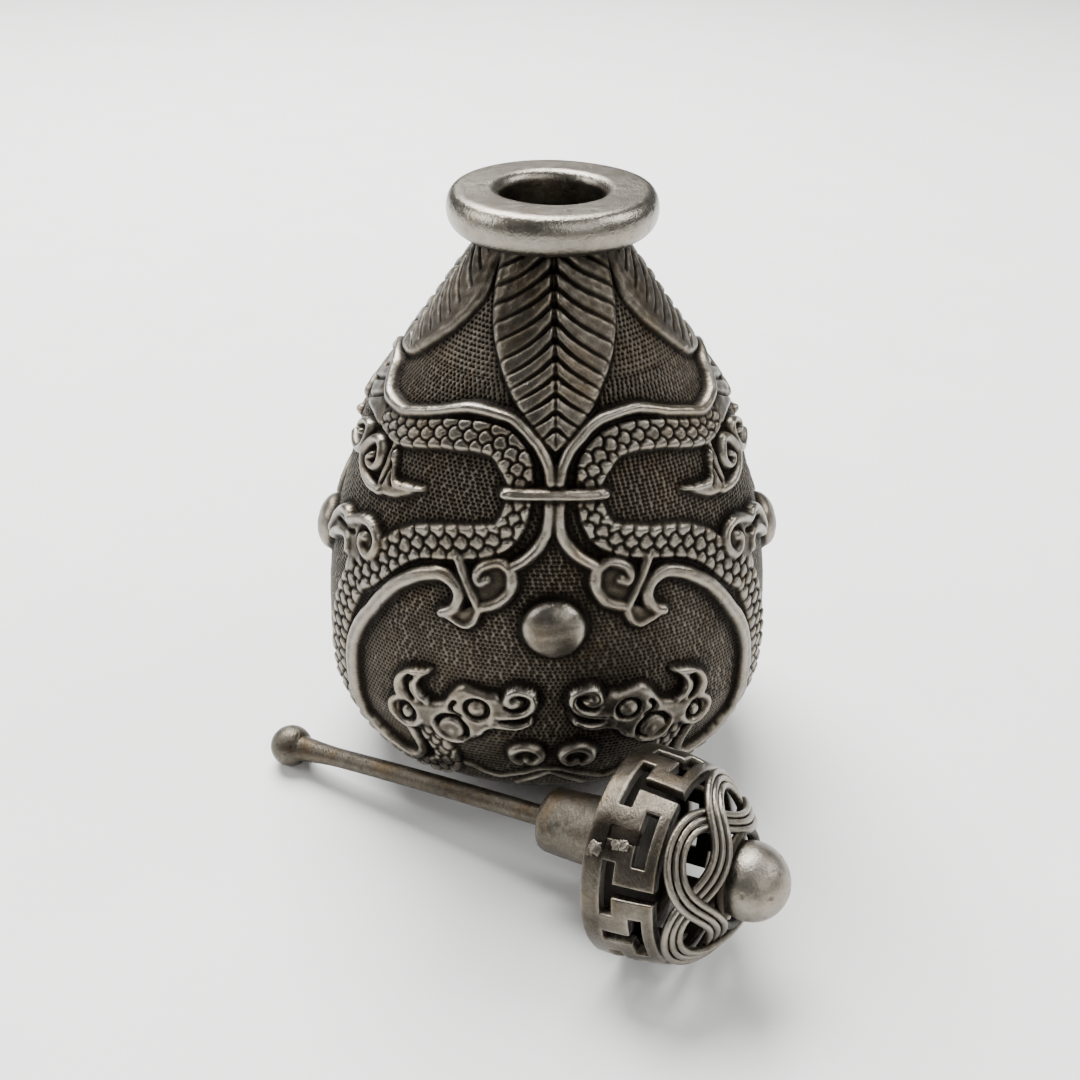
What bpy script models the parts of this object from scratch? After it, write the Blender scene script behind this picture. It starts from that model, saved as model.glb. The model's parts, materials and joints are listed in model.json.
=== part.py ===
"""A hollow cast-metal snuff bottle with dragons in relief, and its stopper lying in front of it.

Metres, +Z up. The origin is under the middle of the bottle's foot, and the front of the bottle
faces -Y. The carving is drawn once, on a quarter of the body, in two coordinates: degrees round
from the front, and units up the side outline, of which there are OUTLINE_UNITS from the foot to
the mouth. The same drawing is mirrored to the other three quarters.
"""
import math

import bmesh
import bpy
import numpy as np
from mathutils import Matrix, Vector
from mathutils.geometry import delaunay_2d_cdt

# The bottle
BOTTLE_HEIGHT = 0.067
BODY_WIDTH = 0.0532
FRONT_FLATNESS = 0.85
WALL = 0.002
BORE_RADIUS = 0.0052
CAVITY_SIDES = 22
# The levels of the drawing at which the hollow has an edge, and its last step up to the bore
CAVITY_LEVELS = (2.5, 7.0, 11.0, 16.0, 24.0, 34.0, 44.0, 52.0, 59.0, 66.0, 70.0)
CAVITY_NECK = 0.0015
GAP = 0.0003

# The collar round the mouth
RING_RADIUS = 0.0107
RING_HEIGHT = 0.004
RING_LIP = 0.0011
RING_NOSE = 0.0016
RING_SIDES = 28

# The relief, all heights above the ground of the body
GROUND_DEPTH = 0.0008
CORD_WIDTH = 0.0011
CORD_HEIGHT = 0.0009
CURL_RISE = 0.0003
ARM_WIDTH = 0.0038
NECK_WIDTH = 0.0029
ARM_HEIGHT = 0.0007
EDGE_SLOPE = 0.0004
CLASP_LENGTH = 0.0105
CLASP_WIDTH = 0.0014
CLASP_HEIGHT = 0.0012
PLATE_HEIGHT = 0.0008
BOSS_RADIUS = 0.0036
BOSS_HEIGHT = 0.0021
DOME_SHOULDER = 0.62
EYE_RADIUS = 0.0009
EYE_HEIGHT = 0.0013
LEAF_HEIGHT = 0.0008
GROOVE_WIDTH = 0.0008
GROOVE_DEPTH = 0.0005
LINE_STEP = 0.0034
CURL_STEP = 0.0015

# The stopper
CAP_RADIUS = 0.0105
CAP_HEIGHT = 0.0074
CAP_TOP_RADIUS = 0.0096
CAP_BULGE = 2.2
CAP_WALL = 0.0012
CAP_PLATE = 0.0012
FRET_REPEATS = 6
FRET_BASE = 0.0022
FRET_SLOT = 0.0012
FRET_STRAP = 0.0016
FRET_LEG = 0.0013
FRET_LENGTH = 0.0055
CAP_SIDES = 36
FRET_TURN = math.radians(38.7)
KNOT_TURN = math.radians(59.0)
KNOT_EYES = 5
KNOT_RADIUS = 0.0096
KNOT_SEAT = 0.0014
KNOT_RISE = 0.0025
KNOT_DOME = 0.9
KNOT_STRAP = 0.0024
KNOT_THICKNESS = 0.0008
KNOT_LIFT = 0.0003
HUB_GAP = 0.0003
HUB_WIRE = 0.0007
FINIAL_RADIUS = 0.0038
HUB_RADIUS = FINIAL_RADIUS + HUB_GAP
# The strap's middle swings between these two radii
KNOT_OUTER = KNOT_RADIUS - KNOT_STRAP / 2.0
KNOT_INNER = HUB_RADIUS + KNOT_STRAP / 2.0
FINIAL_HEIGHT = 0.0128
PLUG_RADIUS = 0.0037
PLUG_END_RADIUS = 0.0034
PLUG_LENGTH = 0.0093
PLUG_OFFSET = 0.0006
PLUG_CHAMFER = 0.0006
ROD_RADIUS = 0.0011
ROD_TIP_RADIUS = 0.0015
ROD_FLARE = 0.006
SPOON_RADIUS = 0.00245
STOPPER_LENGTH = 0.0587
# The spoon's ball lies beside the belly, so its place is a share of the bottle's width
STOPPER_TIP = (-0.577 * BODY_WIDTH, -0.175 * BODY_WIDTH)
STOPPER_HEADING = math.radians(-31.8)

# The side outline, as shares of the height and of half the width
OUTLINE = (
    (0.0194, 0.489), (0.0254, 0.639), (0.0388, 0.763), (0.0597, 0.850), (0.0896, 0.910),
    (0.1403, 0.962), (0.2164, 1.000), (0.3119, 0.989), (0.4269, 0.947), (0.5418, 0.865),
    (0.6567, 0.767), (0.7612, 0.583), (0.8567, 0.410), (0.9433, 0.271), (1.0000, 0.256),
)
OUTLINE_UNITS = 79.2
FLAT_FROM = 0.52
FLAT_TO = 0.93

# The drawing, as (degrees from the front, units up the outline)
UPPER_CORD = (
    (1.2, 51.7), (3.0, 54.3), (7.7, 56.5), (15.0, 58.2), (25.0, 58.7), (40.0, 57.7),
    (54.0, 56.0), (65.4, 56.1), (75.4, 57.7), (81.0, 59.0), (90.0, 59.5), (95.0, 59.3),
)
UPPER_ARM = (
    (9.5, 51.5), (11.0, 53.2), (14.0, 54.8), (24.0, 56.0), (36.0, 55.5), (48.0, 54.2),
    (62.0, 54.3),
)
LOWER_ARM = (
    (9.5, 49.3), (10.8, 47.2), (13.5, 45.6), (18.0, 44.8), (30.0, 43.7), (41.0, 42.2),
    (50.0, 38.5), (57.5, 36.0), (61.7, 32.0), (64.5, 28.0), (65.2, 24.0), (62.0, 20.0),
    (55.0, 16.5), (45.0, 14.0), (35.0, 13.0), (30.0, 13.8), (27.0, 15.5), (27.0, 17.5),
    (30.5, 21.0),
)
LOWER_CORD = (
    (1.3, 49.3), (1.2, 48.0), (1.8, 46.3), (3.3, 45.0), (8.0, 43.0), (10.7, 42.0),
)
BODY_CORD = (
    (26.0, 40.3), (32.0, 40.3), (38.7, 38.8), (44.0, 35.9), (49.3, 33.3), (53.3, 30.6),
    (56.3, 27.3), (56.8, 23.9), (55.0, 19.4), (50.0, 16.3), (43.3, 15.1), (37.3, 14.8),
    (34.0, 16.4), (34.3, 19.0), (36.3, 21.0),
)
FRONT_CLAW = (
    (27.1, 36.4), (24.7, 36.9), (23.3, 37.8), (23.0, 38.8), (24.0, 39.7), (26.0, 40.8),
    (23.0, 41.3), (20.5, 40.0), (18.3, 38.5), (17.3, 37.3), (18.7, 36.0), (20.7, 35.5),
    (23.3, 35.7),
)
HIND_CLAW = (
    (51.2, 51.6), (49.3, 49.3), (48.0, 48.5), (43.3, 48.6), (37.3, 48.8), (40.7, 47.7),
    (45.0, 47.0), (48.1, 46.6), (53.8, 46.6), (53.2, 48.9), (52.6, 51.2),
)
TAIL_PLATE = (
    (64.0, 53.2), (72.0, 53.4), (80.8, 53.2), (84.0, 54.0), (92.0, 54.6), (92.0, 58.4),
    (81.0, 58.0), (75.4, 56.7), (65.4, 55.2),
)
FLAME = (
    (79.0, 37.2), (76.9, 39.1), (74.6, 40.6), (71.5, 41.7), (66.2, 41.5), (61.2, 42.4),
    (57.7, 42.9), (54.2, 42.9), (51.2, 42.3), (49.6, 41.1), (51.5, 38.9), (54.2, 38.4),
    (57.5, 37.6), (63.5, 35.4), (64.0, 38.0), (67.0, 39.0), (72.0, 38.2),
)
HEAD = (
    (28.5, 21.5), (26.5, 21.0), (24.0, 20.2), (19.3, 20.7), (14.7, 22.9), (9.3, 23.2),
    (5.0, 24.3), (4.3, 25.7), (4.0, 27.4), (7.0, 28.5), (10.3, 28.0), (11.3, 27.3),
    (15.3, 27.7), (20.7, 28.2), (24.7, 26.7), (28.0, 25.4), (31.0, 25.6), (33.9, 26.6),
    (32.3, 27.7), (29.0, 29.0), (35.0, 28.4), (39.0, 26.7), (39.3, 25.0), (40.5, 23.4),
    (39.7, 21.5), (36.3, 20.9), (32.3, 21.6),
)
MOUTH = ((12.9, 24.3), (9.5, 24.4), (5.0, 25.2))
BROW = ((22.8, 25.9), (23.8, 25.0), (21.9, 24.1))
EYE = (17.7, 25.4)
LOWER_ARC = ((22.0, 15.7), (17.3, 14.7), (12.0, 14.2), (5.3, 15.7), (0.0, 16.3), (-4.0, 15.9))
FOOT_ARC = ((6.0, 13.8), (3.0, 14.6), (-1.0, 15.6))
BOSS_LEVEL = 36.0
CLASP_LEVEL = 50.4
FRONT_LEAF = ((55.8, 0.4), (57.8, 6.0), (60.5, 13.5), (64.8, 23.3), (70.0, 34.0), (74.0, 41.0),
              (80.0, 44.0))
SIDE_LEAF = ((59.7, 0.4), (60.5, 15.0), (63.4, 28.0), (67.8, 42.0), (70.4, 47.0), (74.0, 44.5),
             (80.0, 42.0))
# Each curl: its middle, outer and inner radius, the angle where it starts, and its turns
CURLS = (
    ((15.0, 40.6), 0.0021, 0.0007, 145.0, 1.35),
    ((60.5, 49.3), 0.0023, 0.0008, 235.0, 1.30),
    ((73.8, 50.8), 0.0019, 0.0007, -35.0, -1.20),
    ((34.9, 22.4), 0.0017, 0.0006, 30.0, -1.25),
    ((24.0, 21.9), 0.0012, 0.0005, 20.0, -1.10),
    ((7.3, 26.8), 0.0011, 0.0005, -20.0, 1.10),
    ((5.6, 18.7), 0.0016, 0.0006, -10.0, 1.15),
)


def remove_everything():
    """Clear the objects that a new file starts with."""
    for item in list(bpy.data.objects):
        bpy.data.objects.remove(item, do_unlink=True)


def metal(name, colour, roughness):
    """A metal material."""
    material = bpy.data.materials.new(name)
    material.use_nodes = True
    shader = material.node_tree.nodes["Principled BSDF"]
    shader.inputs["Base Color"].default_value = (*colour, 1.0)
    shader.inputs["Metallic"].default_value = 1.0
    shader.inputs["Roughness"].default_value = roughness
    return material


def new_object(name, mesh, material=None):
    """Put a mesh into the scene as a named object."""
    item = bpy.data.objects.new(name, mesh)
    bpy.context.scene.collection.objects.link(item)
    if material:
        mesh.materials.append(material)
        mesh.shade_smooth()
        mesh.set_sharp_from_angle(angle=math.radians(35))
    return item


def mesh_from(name, points, faces):
    """A mesh from points and faces."""
    mesh = bpy.data.meshes.new(name)
    mesh.from_pydata([tuple(p) for p in points], [], [tuple(f) for f in faces])
    mesh.validate()
    return mesh


def turned(name, profile, sides, flatten=None):
    """A closed solid turned about Z from (radius, height) points, bottom to top.

    A radius of zero at an end closes it in a point; otherwise the end is a flat face.
    """
    angles = np.linspace(0.0, 2.0 * math.pi, sides, endpoint=False)
    points = []
    rings = []
    for radius, height in profile:
        if radius == 0.0:
            rings.append([len(points)])
            points.append((0.0, 0.0, height))
            continue
        across, deep = (radius, radius) if flatten is None else flatten(radius, height)
        rings.append(list(range(len(points), len(points) + sides)))
        points.extend((across * math.cos(a), deep * math.sin(a), height) for a in angles)
    faces = []
    for low, high in zip(rings, rings[1:]):
        for i in range(sides):
            j = (i + 1) % sides
            if len(low) == 1:
                faces.append((low[0], high[j], high[i]))
            elif len(high) == 1:
                faces.append((low[i], low[j], high[0]))
            else:
                faces.append((low[i], low[j], high[j], high[i]))
    if len(rings[0]) > 1:
        faces.append(tuple(reversed(rings[0])))
    if len(rings[-1]) > 1:
        faces.append(tuple(rings[-1]))
    return mesh_from(name, points, faces)


def loop_turned(name, profile, sides):
    """A ring-shaped solid turned about Z from a closed (radius, height) outline, anticlockwise."""
    angles = np.linspace(0.0, 2.0 * math.pi, sides, endpoint=False)
    count = len(profile)
    points = [(r * math.cos(a), r * math.sin(a), h) for a in angles for r, h in profile]
    faces = []
    for i in range(sides):
        j = (i + 1) % sides
        for k in range(count):
            m = (k + 1) % count
            faces.append((i * count + k, j * count + k, j * count + m, i * count + m))
    return mesh_from(name, points, faces)


def boolean(item, cutter, operation, crosses_itself=False):
    """Combine an object with a cutter, which is then removed."""
    step = item.modifiers.new(operation.title(), "BOOLEAN")
    step.operation = operation
    step.solver = "EXACT"
    step.use_self = crosses_itself
    step.object = cutter
    depsgraph = bpy.context.evaluated_depsgraph_get()
    result = bpy.data.meshes.new_from_object(item.evaluated_get(depsgraph))
    item.modifiers.clear()
    item.data = result
    bpy.data.objects.remove(cutter, do_unlink=True)


def monotone(xs, ys):
    """Slopes of a monotone cubic through points: harmonic means of the neighbouring slopes."""
    h = np.diff(xs)
    d = np.diff(ys) / h
    slopes = np.zeros(len(xs))
    for i in range(1, len(xs) - 1):
        if d[i - 1] * d[i] > 0.0:
            a = 2.0 * h[i] + h[i - 1]
            b = h[i] + 2.0 * h[i - 1]
            slopes[i] = (a + b) / (a / d[i - 1] + b / d[i])
    slopes[0] = ((2.0 * h[0] + h[1]) * d[0] - h[0] * d[1]) / (h[0] + h[1])
    slopes[-1] = d[-1] * 0.5
    return slopes


HEIGHTS = np.array([p[0] for p in OUTLINE]) * BOTTLE_HEIGHT
RADII = np.array([p[1] for p in OUTLINE]) * BODY_WIDTH / 2.0
SLOPES = monotone(HEIGHTS, RADII)


def outline_radius(z):
    """Half the width over the relief at a height, by the monotone cubic."""
    z = np.clip(z, HEIGHTS[0], HEIGHTS[-1])
    i = np.clip(np.searchsorted(HEIGHTS, z) - 1, 0, len(HEIGHTS) - 2)
    h = HEIGHTS[i + 1] - HEIGHTS[i]
    t = (z - HEIGHTS[i]) / h
    return (RADII[i] * (1 + 2 * t) * (1 - t) ** 2 + RADII[i + 1] * t * t * (3 - 2 * t)
            + h * SLOPES[i] * t * (1 - t) ** 2 + h * SLOPES[i + 1] * t * t * (t - 1))


FINE_Z = np.linspace(HEIGHTS[0], HEIGHTS[-1], 2000)
FINE_R = outline_radius(FINE_Z)
FINE_ARC = np.concatenate(([0.0], np.cumsum(np.hypot(np.diff(FINE_Z), np.diff(FINE_R)))))
UNIT = FINE_ARC[-1] / OUTLINE_UNITS


def height_of(v):
    """The height of a level of the drawing."""
    return np.interp(v, FINE_ARC / UNIT, FINE_Z)


def flatness(z):
    """Depth over width at a height, easing from the flattened belly to the round neck."""
    t = np.clip((z / BOTTLE_HEIGHT - FLAT_FROM) / (FLAT_TO - FLAT_FROM), 0.0, 1.0)
    return FRONT_FLATNESS + (1.0 - FRONT_FLATNESS) * t * t * (3.0 - 2.0 * t)


def degree_length(phi, v):
    """The length of one degree on the body at a point of the drawing."""
    z = height_of(v)
    angle = np.radians(phi)
    stretch = np.hypot(np.cos(angle), flatness(z) * np.sin(angle))
    return np.radians(1.0) * outline_radius(z) * stretch


def on_body(phi, v, lift):
    """A point of the drawing on the body, lifted above the ground."""
    z = height_of(v)
    radius = outline_radius(z)
    angle = np.radians(phi)
    out = lift - GROUND_DEPTH
    return np.stack([(radius + out) * np.sin(angle),
                     -(radius * flatness(z) + out) * np.cos(angle), z], axis=-1)


def resample(points, step, closed=False):
    """A smooth curve through drawing points, with points about a step apart on the body."""
    p = np.array(points, float)
    if closed:
        p = np.vstack([p[-1], p, p[0], p[1]])
    else:
        p = np.vstack([2 * p[0] - p[1], p, 2 * p[-1] - p[-2]])
    t = np.linspace(0.0, 1.0, 12, endpoint=False)[:, None]
    runs = []
    for a, b, c, d in zip(p, p[1:], p[2:], p[3:]):
        runs.append(0.5 * (2 * b + (c - a) * t + (2 * a - 5 * b + 4 * c - d) * t ** 2
                           + (3 * b - a - 3 * c + d) * t ** 3))
    fine = np.vstack(runs + [p[-2][None, :]])
    scale = degree_length(fine[:, 0], fine[:, 1])
    lengths = np.hypot(np.diff(fine[:, 0]) * scale[:-1], np.diff(fine[:, 1]) * UNIT)
    run = np.concatenate(([0.0], np.cumsum(lengths)))
    count = max(3, int(round(run[-1] / step)) + 1)
    places = np.linspace(0.0, run[-1], count)
    curve = np.stack([np.interp(places, run, fine[:, k]) for k in (0, 1)], axis=1)
    return curve[:-1] if closed else curve


def beside(curve, distance, closed=False):
    """A curve a distance to the left of another, on the body."""
    if closed:
        ahead = np.roll(curve, -1, axis=0)
        behind = np.roll(curve, 1, axis=0)
    else:
        ahead = np.vstack([curve[1:], curve[-1:]])
        behind = np.vstack([curve[:1], curve[:-1]])
    scale = degree_length(curve[:, 0], curve[:, 1])
    along = np.stack([(ahead - behind)[:, 0] * scale, (ahead - behind)[:, 1] * UNIT], axis=1)
    along /= np.linalg.norm(along, axis=1)[:, None]
    return curve + np.stack([-along[:, 1] * distance / scale, along[:, 0] * distance / UNIT],
                            axis=1)


def distance_to(points, curve, closed=False):
    """The distance on the body from each point to a curve, and its place along the curve."""
    ends = np.vstack([curve, curve[:1]]) if closed else curve
    scale = degree_length(points[:, 0], points[:, 1])[:, None]
    ax = (ends[None, :-1, 0] - points[:, :1]) * scale
    ay = (ends[None, :-1, 1] - points[:, 1:]) * UNIT
    bx = (ends[None, 1:, 0] - points[:, :1]) * scale
    by = (ends[None, 1:, 1] - points[:, 1:]) * UNIT
    dx = bx - ax
    dy = by - ay
    t = np.clip(-(ax * dx + ay * dy) / np.maximum(dx * dx + dy * dy, 1e-18), 0.0, 1.0)
    gaps = np.hypot(ax + t * dx, ay + t * dy)
    best = np.argmin(gaps, axis=1)
    rows = np.arange(len(points))
    return gaps[rows, best], (best + t[rows, best]) / (len(ends) - 1)


def inside(points, outline):
    """Which points lie inside a closed outline, by counting crossings."""
    x, y = points[:, :1], points[:, 1:]
    x0, y0 = outline[None, :, 0], outline[None, :, 1]
    x1, y1 = np.roll(outline, -1, axis=0)[None, :, 0], np.roll(outline, -1, axis=0)[None, :, 1]
    spans = (y0 > y) != (y1 > y)
    with np.errstate(divide="ignore", invalid="ignore"):
        cross = x0 + (y - y0) * (x1 - x0) / (y1 - y0)
    return (spans & (x < cross)).sum(axis=1) % 2 == 1


def circle(centre, radius, count, start=0.0):
    """A closed round line on the body."""
    angle = np.radians(start) + np.linspace(0.0, 2.0 * math.pi, count, endpoint=False)
    scale = degree_length(*centre)
    return np.stack([centre[0] + radius * np.cos(angle) / scale,
                     centre[1] + radius * np.sin(angle) / UNIT], axis=1)


def curl(centre, outer, inner, start, turns):
    """A spiral line on the body, its radius falling evenly from the outer to the inner one."""
    count = max(4, int(round(abs(turns) * math.pi * (outer + inner) / CURL_STEP)) + 1)
    t = np.linspace(0.0, 1.0, count)
    angle = np.radians(start + 360.0 * turns * t)
    radius = outer + (inner - outer) * t
    scale = degree_length(*centre)
    return np.stack([centre[0] + radius * np.cos(angle) / scale,
                     centre[1] + radius * np.sin(angle) / UNIT], axis=1)


class Relief:
    """The carving on a quarter of the body: the lines its edges follow, and its height."""

    def __init__(self):
        self.lines = []
        self.raised = []
        self.sunk = []

    def line(self, curve, closed=False):
        """Keep a line that the faces of the body have to follow."""
        self.lines.append((curve, closed))

    def cord(self, curve, width, height, caps=True):
        """A cord with a roof-shaped section: its crest and the two lines where it meets the ground."""
        left = beside(curve, width / 2.0)
        right = beside(curve, -width / 2.0)
        self.line(curve)
        if caps:
            self.line(np.vstack([left, right[::-1]]), closed=True)
        else:
            self.line(left)
            self.line(right)

        def lift(points):
            gap, _ = distance_to(points, curve)
            return height * np.clip(1.0 - gap / (width / 2.0), 0.0, 1.0)
        self.raised.append(lift)

    def band(self, curve, widths, height):
        """A flat band of changing width, with sloped edges."""
        halves = np.interp(np.linspace(0, 1, len(curve)), np.linspace(0, 1, len(widths)),
                           widths) / 2.0
        for inset in (0.0, EDGE_SLOPE):
            left = np.array([beside(curve, h - inset)[i] for i, h in enumerate(halves)])
            right = np.array([beside(curve, inset - h)[i] for i, h in enumerate(halves)])
            self.line(np.vstack([left, right[::-1]]), closed=True)

        def lift(points):
            gap, along = distance_to(points, curve)
            half = np.interp(along, np.linspace(0, 1, len(halves)), halves)
            return height * np.clip((half - gap) / EDGE_SLOPE, 0.0, 1.0)
        self.raised.append(lift)

    def plate(self, outline, height):
        """A flat raised shape with sloped edges, drawn anticlockwise or clockwise."""
        area = np.sum(outline[:, 0] * np.roll(outline[:, 1], -1)
                      - outline[:, 1] * np.roll(outline[:, 0], -1))
        inward = EDGE_SLOPE if area > 0.0 else -EDGE_SLOPE
        self.line(outline, closed=True)
        self.line(beside(outline, inward, closed=True), closed=True)

        def lift(points):
            gap, _ = distance_to(points, outline, closed=True)
            return np.where(inside(points, outline), height * np.clip(gap / EDGE_SLOPE, 0, 1), 0.0)
        self.raised.append(lift)

    def dome(self, centre, radius, height, count):
        """A round boss: a ring of edges at its foot, one half way up, and its top."""
        self.line(circle(centre, radius, count), closed=True)
        self.line(circle(centre, radius * DOME_SHOULDER, count, 180.0 / count), closed=True)
        self.line(np.array([centre, (centre[0] + 0.01, centre[1])]))

        def lift(points):
            gap, _ = distance_to(points, np.array([centre, (centre[0] + 0.01, centre[1])]))
            return height * np.sqrt(np.clip(1.0 - (gap / radius) ** 2, 0.0, 1.0))
        self.raised.append(lift)

    def groove(self, curve, closed=False):
        """A cut with a V section."""
        self.line(curve, closed)
        self.line(beside(curve, GROOVE_WIDTH / 2.0, closed), closed)
        self.line(beside(curve, -GROOVE_WIDTH / 2.0, closed), closed)

        def drop(points):
            gap, _ = distance_to(points, curve, closed)
            return GROOVE_DEPTH * np.clip(1.0 - gap / (GROOVE_WIDTH / 2.0), 0.0, 1.0)
        self.sunk.append(drop)

    def height(self, points):
        """The highest of the raised shapes at each point, less what the grooves take."""
        top = np.max([lift(points) for lift in self.raised], axis=0)
        cut = np.max([drop(points) for drop in self.sunk], axis=0)
        return np.maximum(top - cut, 0.0)


def leaf_outline(halves, middle, side):
    """A leaf that hangs from the collar: its half widths at levels, on both sides of its middle."""
    levels = np.array([h[0] for h in halves])
    spread = np.array([h[1] for h in halves])
    left = resample(np.stack([middle - side * spread, levels], axis=1), LINE_STEP * 1.3)
    right = np.stack([2 * middle - left[:, 0], left[:, 1]], axis=1)
    return np.vstack([left, right[::-1]])


def draw_relief():
    """The whole drawing on one quarter."""
    relief = Relief()
    relief.plate(leaf_outline(SIDE_LEAF, 90.0, 1.0), LEAF_HEIGHT)
    relief.plate(leaf_outline(FRONT_LEAF, 0.0, -1.0), LEAF_HEIGHT * 1.15)
    relief.cord(resample(UPPER_CORD, LINE_STEP), CORD_WIDTH, CORD_HEIGHT)
    relief.band(resample(UPPER_ARM, LINE_STEP), (ARM_WIDTH * 0.8, ARM_WIDTH, ARM_WIDTH,
                                                 ARM_WIDTH * 0.7), ARM_HEIGHT)
    relief.band(resample(LOWER_ARM, LINE_STEP),
                (NECK_WIDTH, ARM_WIDTH, ARM_WIDTH, ARM_WIDTH, ARM_WIDTH, ARM_WIDTH, NECK_WIDTH),
                ARM_HEIGHT)
    relief.cord(resample(LOWER_CORD, LINE_STEP), CORD_WIDTH, CORD_HEIGHT)
    relief.cord(resample(BODY_CORD, LINE_STEP), CORD_WIDTH, CORD_HEIGHT)
    relief.cord(resample(LOWER_ARC, LINE_STEP), CORD_WIDTH, CORD_HEIGHT)
    relief.cord(resample(FOOT_ARC, LINE_STEP), CORD_WIDTH, CORD_HEIGHT)
    for middle, outer, inner, start, turns in CURLS:
        relief.cord(curl(middle, outer, inner, start, turns), CORD_WIDTH * 0.9,
                    CORD_HEIGHT + CURL_RISE)
    for outline in (FRONT_CLAW, HIND_CLAW, TAIL_PLATE, FLAME):
        relief.plate(resample(outline, LINE_STEP * 0.8, closed=True), PLATE_HEIGHT)
    relief.plate(resample(HEAD, LINE_STEP * 0.7, closed=True), PLATE_HEIGHT * 1.1)
    relief.groove(resample(MOUTH, LINE_STEP))
    relief.groove(resample(BROW, CURL_STEP))
    relief.groove(circle(EYE, EYE_RADIUS + GROOVE_WIDTH / 2.0, 8), closed=True)
    relief.dome(EYE, EYE_RADIUS, EYE_HEIGHT, 8)
    relief.dome((0.0, BOSS_LEVEL), BOSS_RADIUS, BOSS_HEIGHT, 12)
    relief.dome((90.0, BOSS_LEVEL), BOSS_RADIUS, BOSS_HEIGHT, 12)
    reach = CLASP_LENGTH / 2.0 / degree_length(0.0, CLASP_LEVEL)
    bar = np.array([(-reach, CLASP_LEVEL), (0.0, CLASP_LEVEL), (reach, CLASP_LEVEL)])
    relief.band(bar, (CLASP_WIDTH, CLASP_WIDTH), CLASP_HEIGHT)
    return relief


def quarter(top_level):
    """The outer skin of one quarter: drawing points, their heights, and triangles."""
    relief = draw_relief()
    points = []
    edges = []

    def add(curve, closed=False):
        first = len(points)
        points.extend((float(a), float(b)) for a, b in curve)
        count = len(curve)
        edges.extend((first + i, first + i + 1) for i in range(count - 1))
        if closed:
            edges.append((first + count - 1, first))

    levels = np.concatenate((np.array([0.0, 4.5, 8.0, 11.0]), np.linspace(15.0, top_level, 12)))
    columns = np.linspace(0.0, 90.0, 7)
    add(np.stack([np.zeros(len(levels)), levels], axis=1))
    add(np.stack([np.full(len(levels), 90.0), levels], axis=1))
    add(np.stack([columns, np.zeros(len(columns))], axis=1))
    add(np.stack([columns, np.full(len(columns), top_level)], axis=1))
    for curve, closed in relief.lines:
        add(curve, closed)
    for level in levels[1:-1]:
        for column in columns[1:-1]:
            points.append((float(column), float(level)))
    # The flat triangulation works in degrees across and units up, which are near enough alike
    near = 0.17
    found = delaunay_2d_cdt([Vector(p) for p in points], edges, [], 0, near)
    flat = np.array([tuple(p) for p in found[0]])
    triangles = np.array(found[2])
    for column, edge in ((0, 0.0), (0, 90.0), (1, 0.0), (1, top_level)):
        flat[np.abs(flat[:, column] - edge) < near * 1.01, column] = edge
    middle = flat[triangles].mean(axis=1)
    keep = (middle[:, 0] > 0) & (middle[:, 0] < 90) & (middle[:, 1] > 0) & (
        middle[:, 1] < top_level)
    corner = flat[triangles]
    doubled = ((corner[:, 1, 0] - corner[:, 0, 0]) * (corner[:, 2, 1] - corner[:, 0, 1])
               - (corner[:, 2, 0] - corner[:, 0, 0]) * (corner[:, 1, 1] - corner[:, 0, 1]))
    triangles = triangles[keep & (np.abs(doubled) > 1e-6)]
    used, triangles = np.unique(triangles, return_inverse=True)
    triangles = triangles.reshape(-1, 3)
    flat = flat[used]
    return flat, relief.height(flat), triangles


def build_body(material):
    """The hollow body: four mirrored quarters, closed at foot and neck, with the hollow cut out."""
    neck_top = BOTTLE_HEIGHT - RING_HEIGHT - GAP
    top_level = float(np.interp(neck_top, FINE_Z, FINE_ARC / UNIT))
    flat, lift, triangles = quarter(top_level)
    points = on_body(flat[:, 0], flat[:, 1], lift)
    points[flat[:, 0] == 0.0, 0] = 0.0
    points[flat[:, 0] == 90.0, 1] = 0.0
    shape = bmesh.new()
    for across in (1.0, -1.0):
        for deep in (1.0, -1.0):
            corners = [shape.verts.new((x * across, y * deep, z)) for x, y, z in points]
            for a, b, c in triangles:
                order = (a, b, c) if across * deep > 0.0 else (a, c, b)
                shape.faces.new([corners[i] for i in order])
    bmesh.ops.remove_doubles(shape, verts=shape.verts, dist=1e-6)
    rim = [e for e in shape.edges if e.is_boundary]
    low = [e for e in rim if e.verts[0].co.z < BOTTLE_HEIGHT / 2.0]
    drop = bmesh.ops.extrude_edge_only(shape, edges=low)
    for vert in (v for v in drop["geom"] if isinstance(v, bmesh.types.BMVert)):
        vert.co.z = 0.0
    bmesh.ops.holes_fill(shape, edges=[e for e in shape.edges if e.is_boundary], sides=0)
    bmesh.ops.recalc_face_normals(shape, faces=shape.faces)
    mesh = bpy.data.meshes.new("bottle_body")
    shape.to_mesh(mesh)
    shape.free()
    body = new_object("bottle_body", mesh, material)
    boolean(body, new_object("hollow", hollow_mesh()), "DIFFERENCE")
    return body


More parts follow.
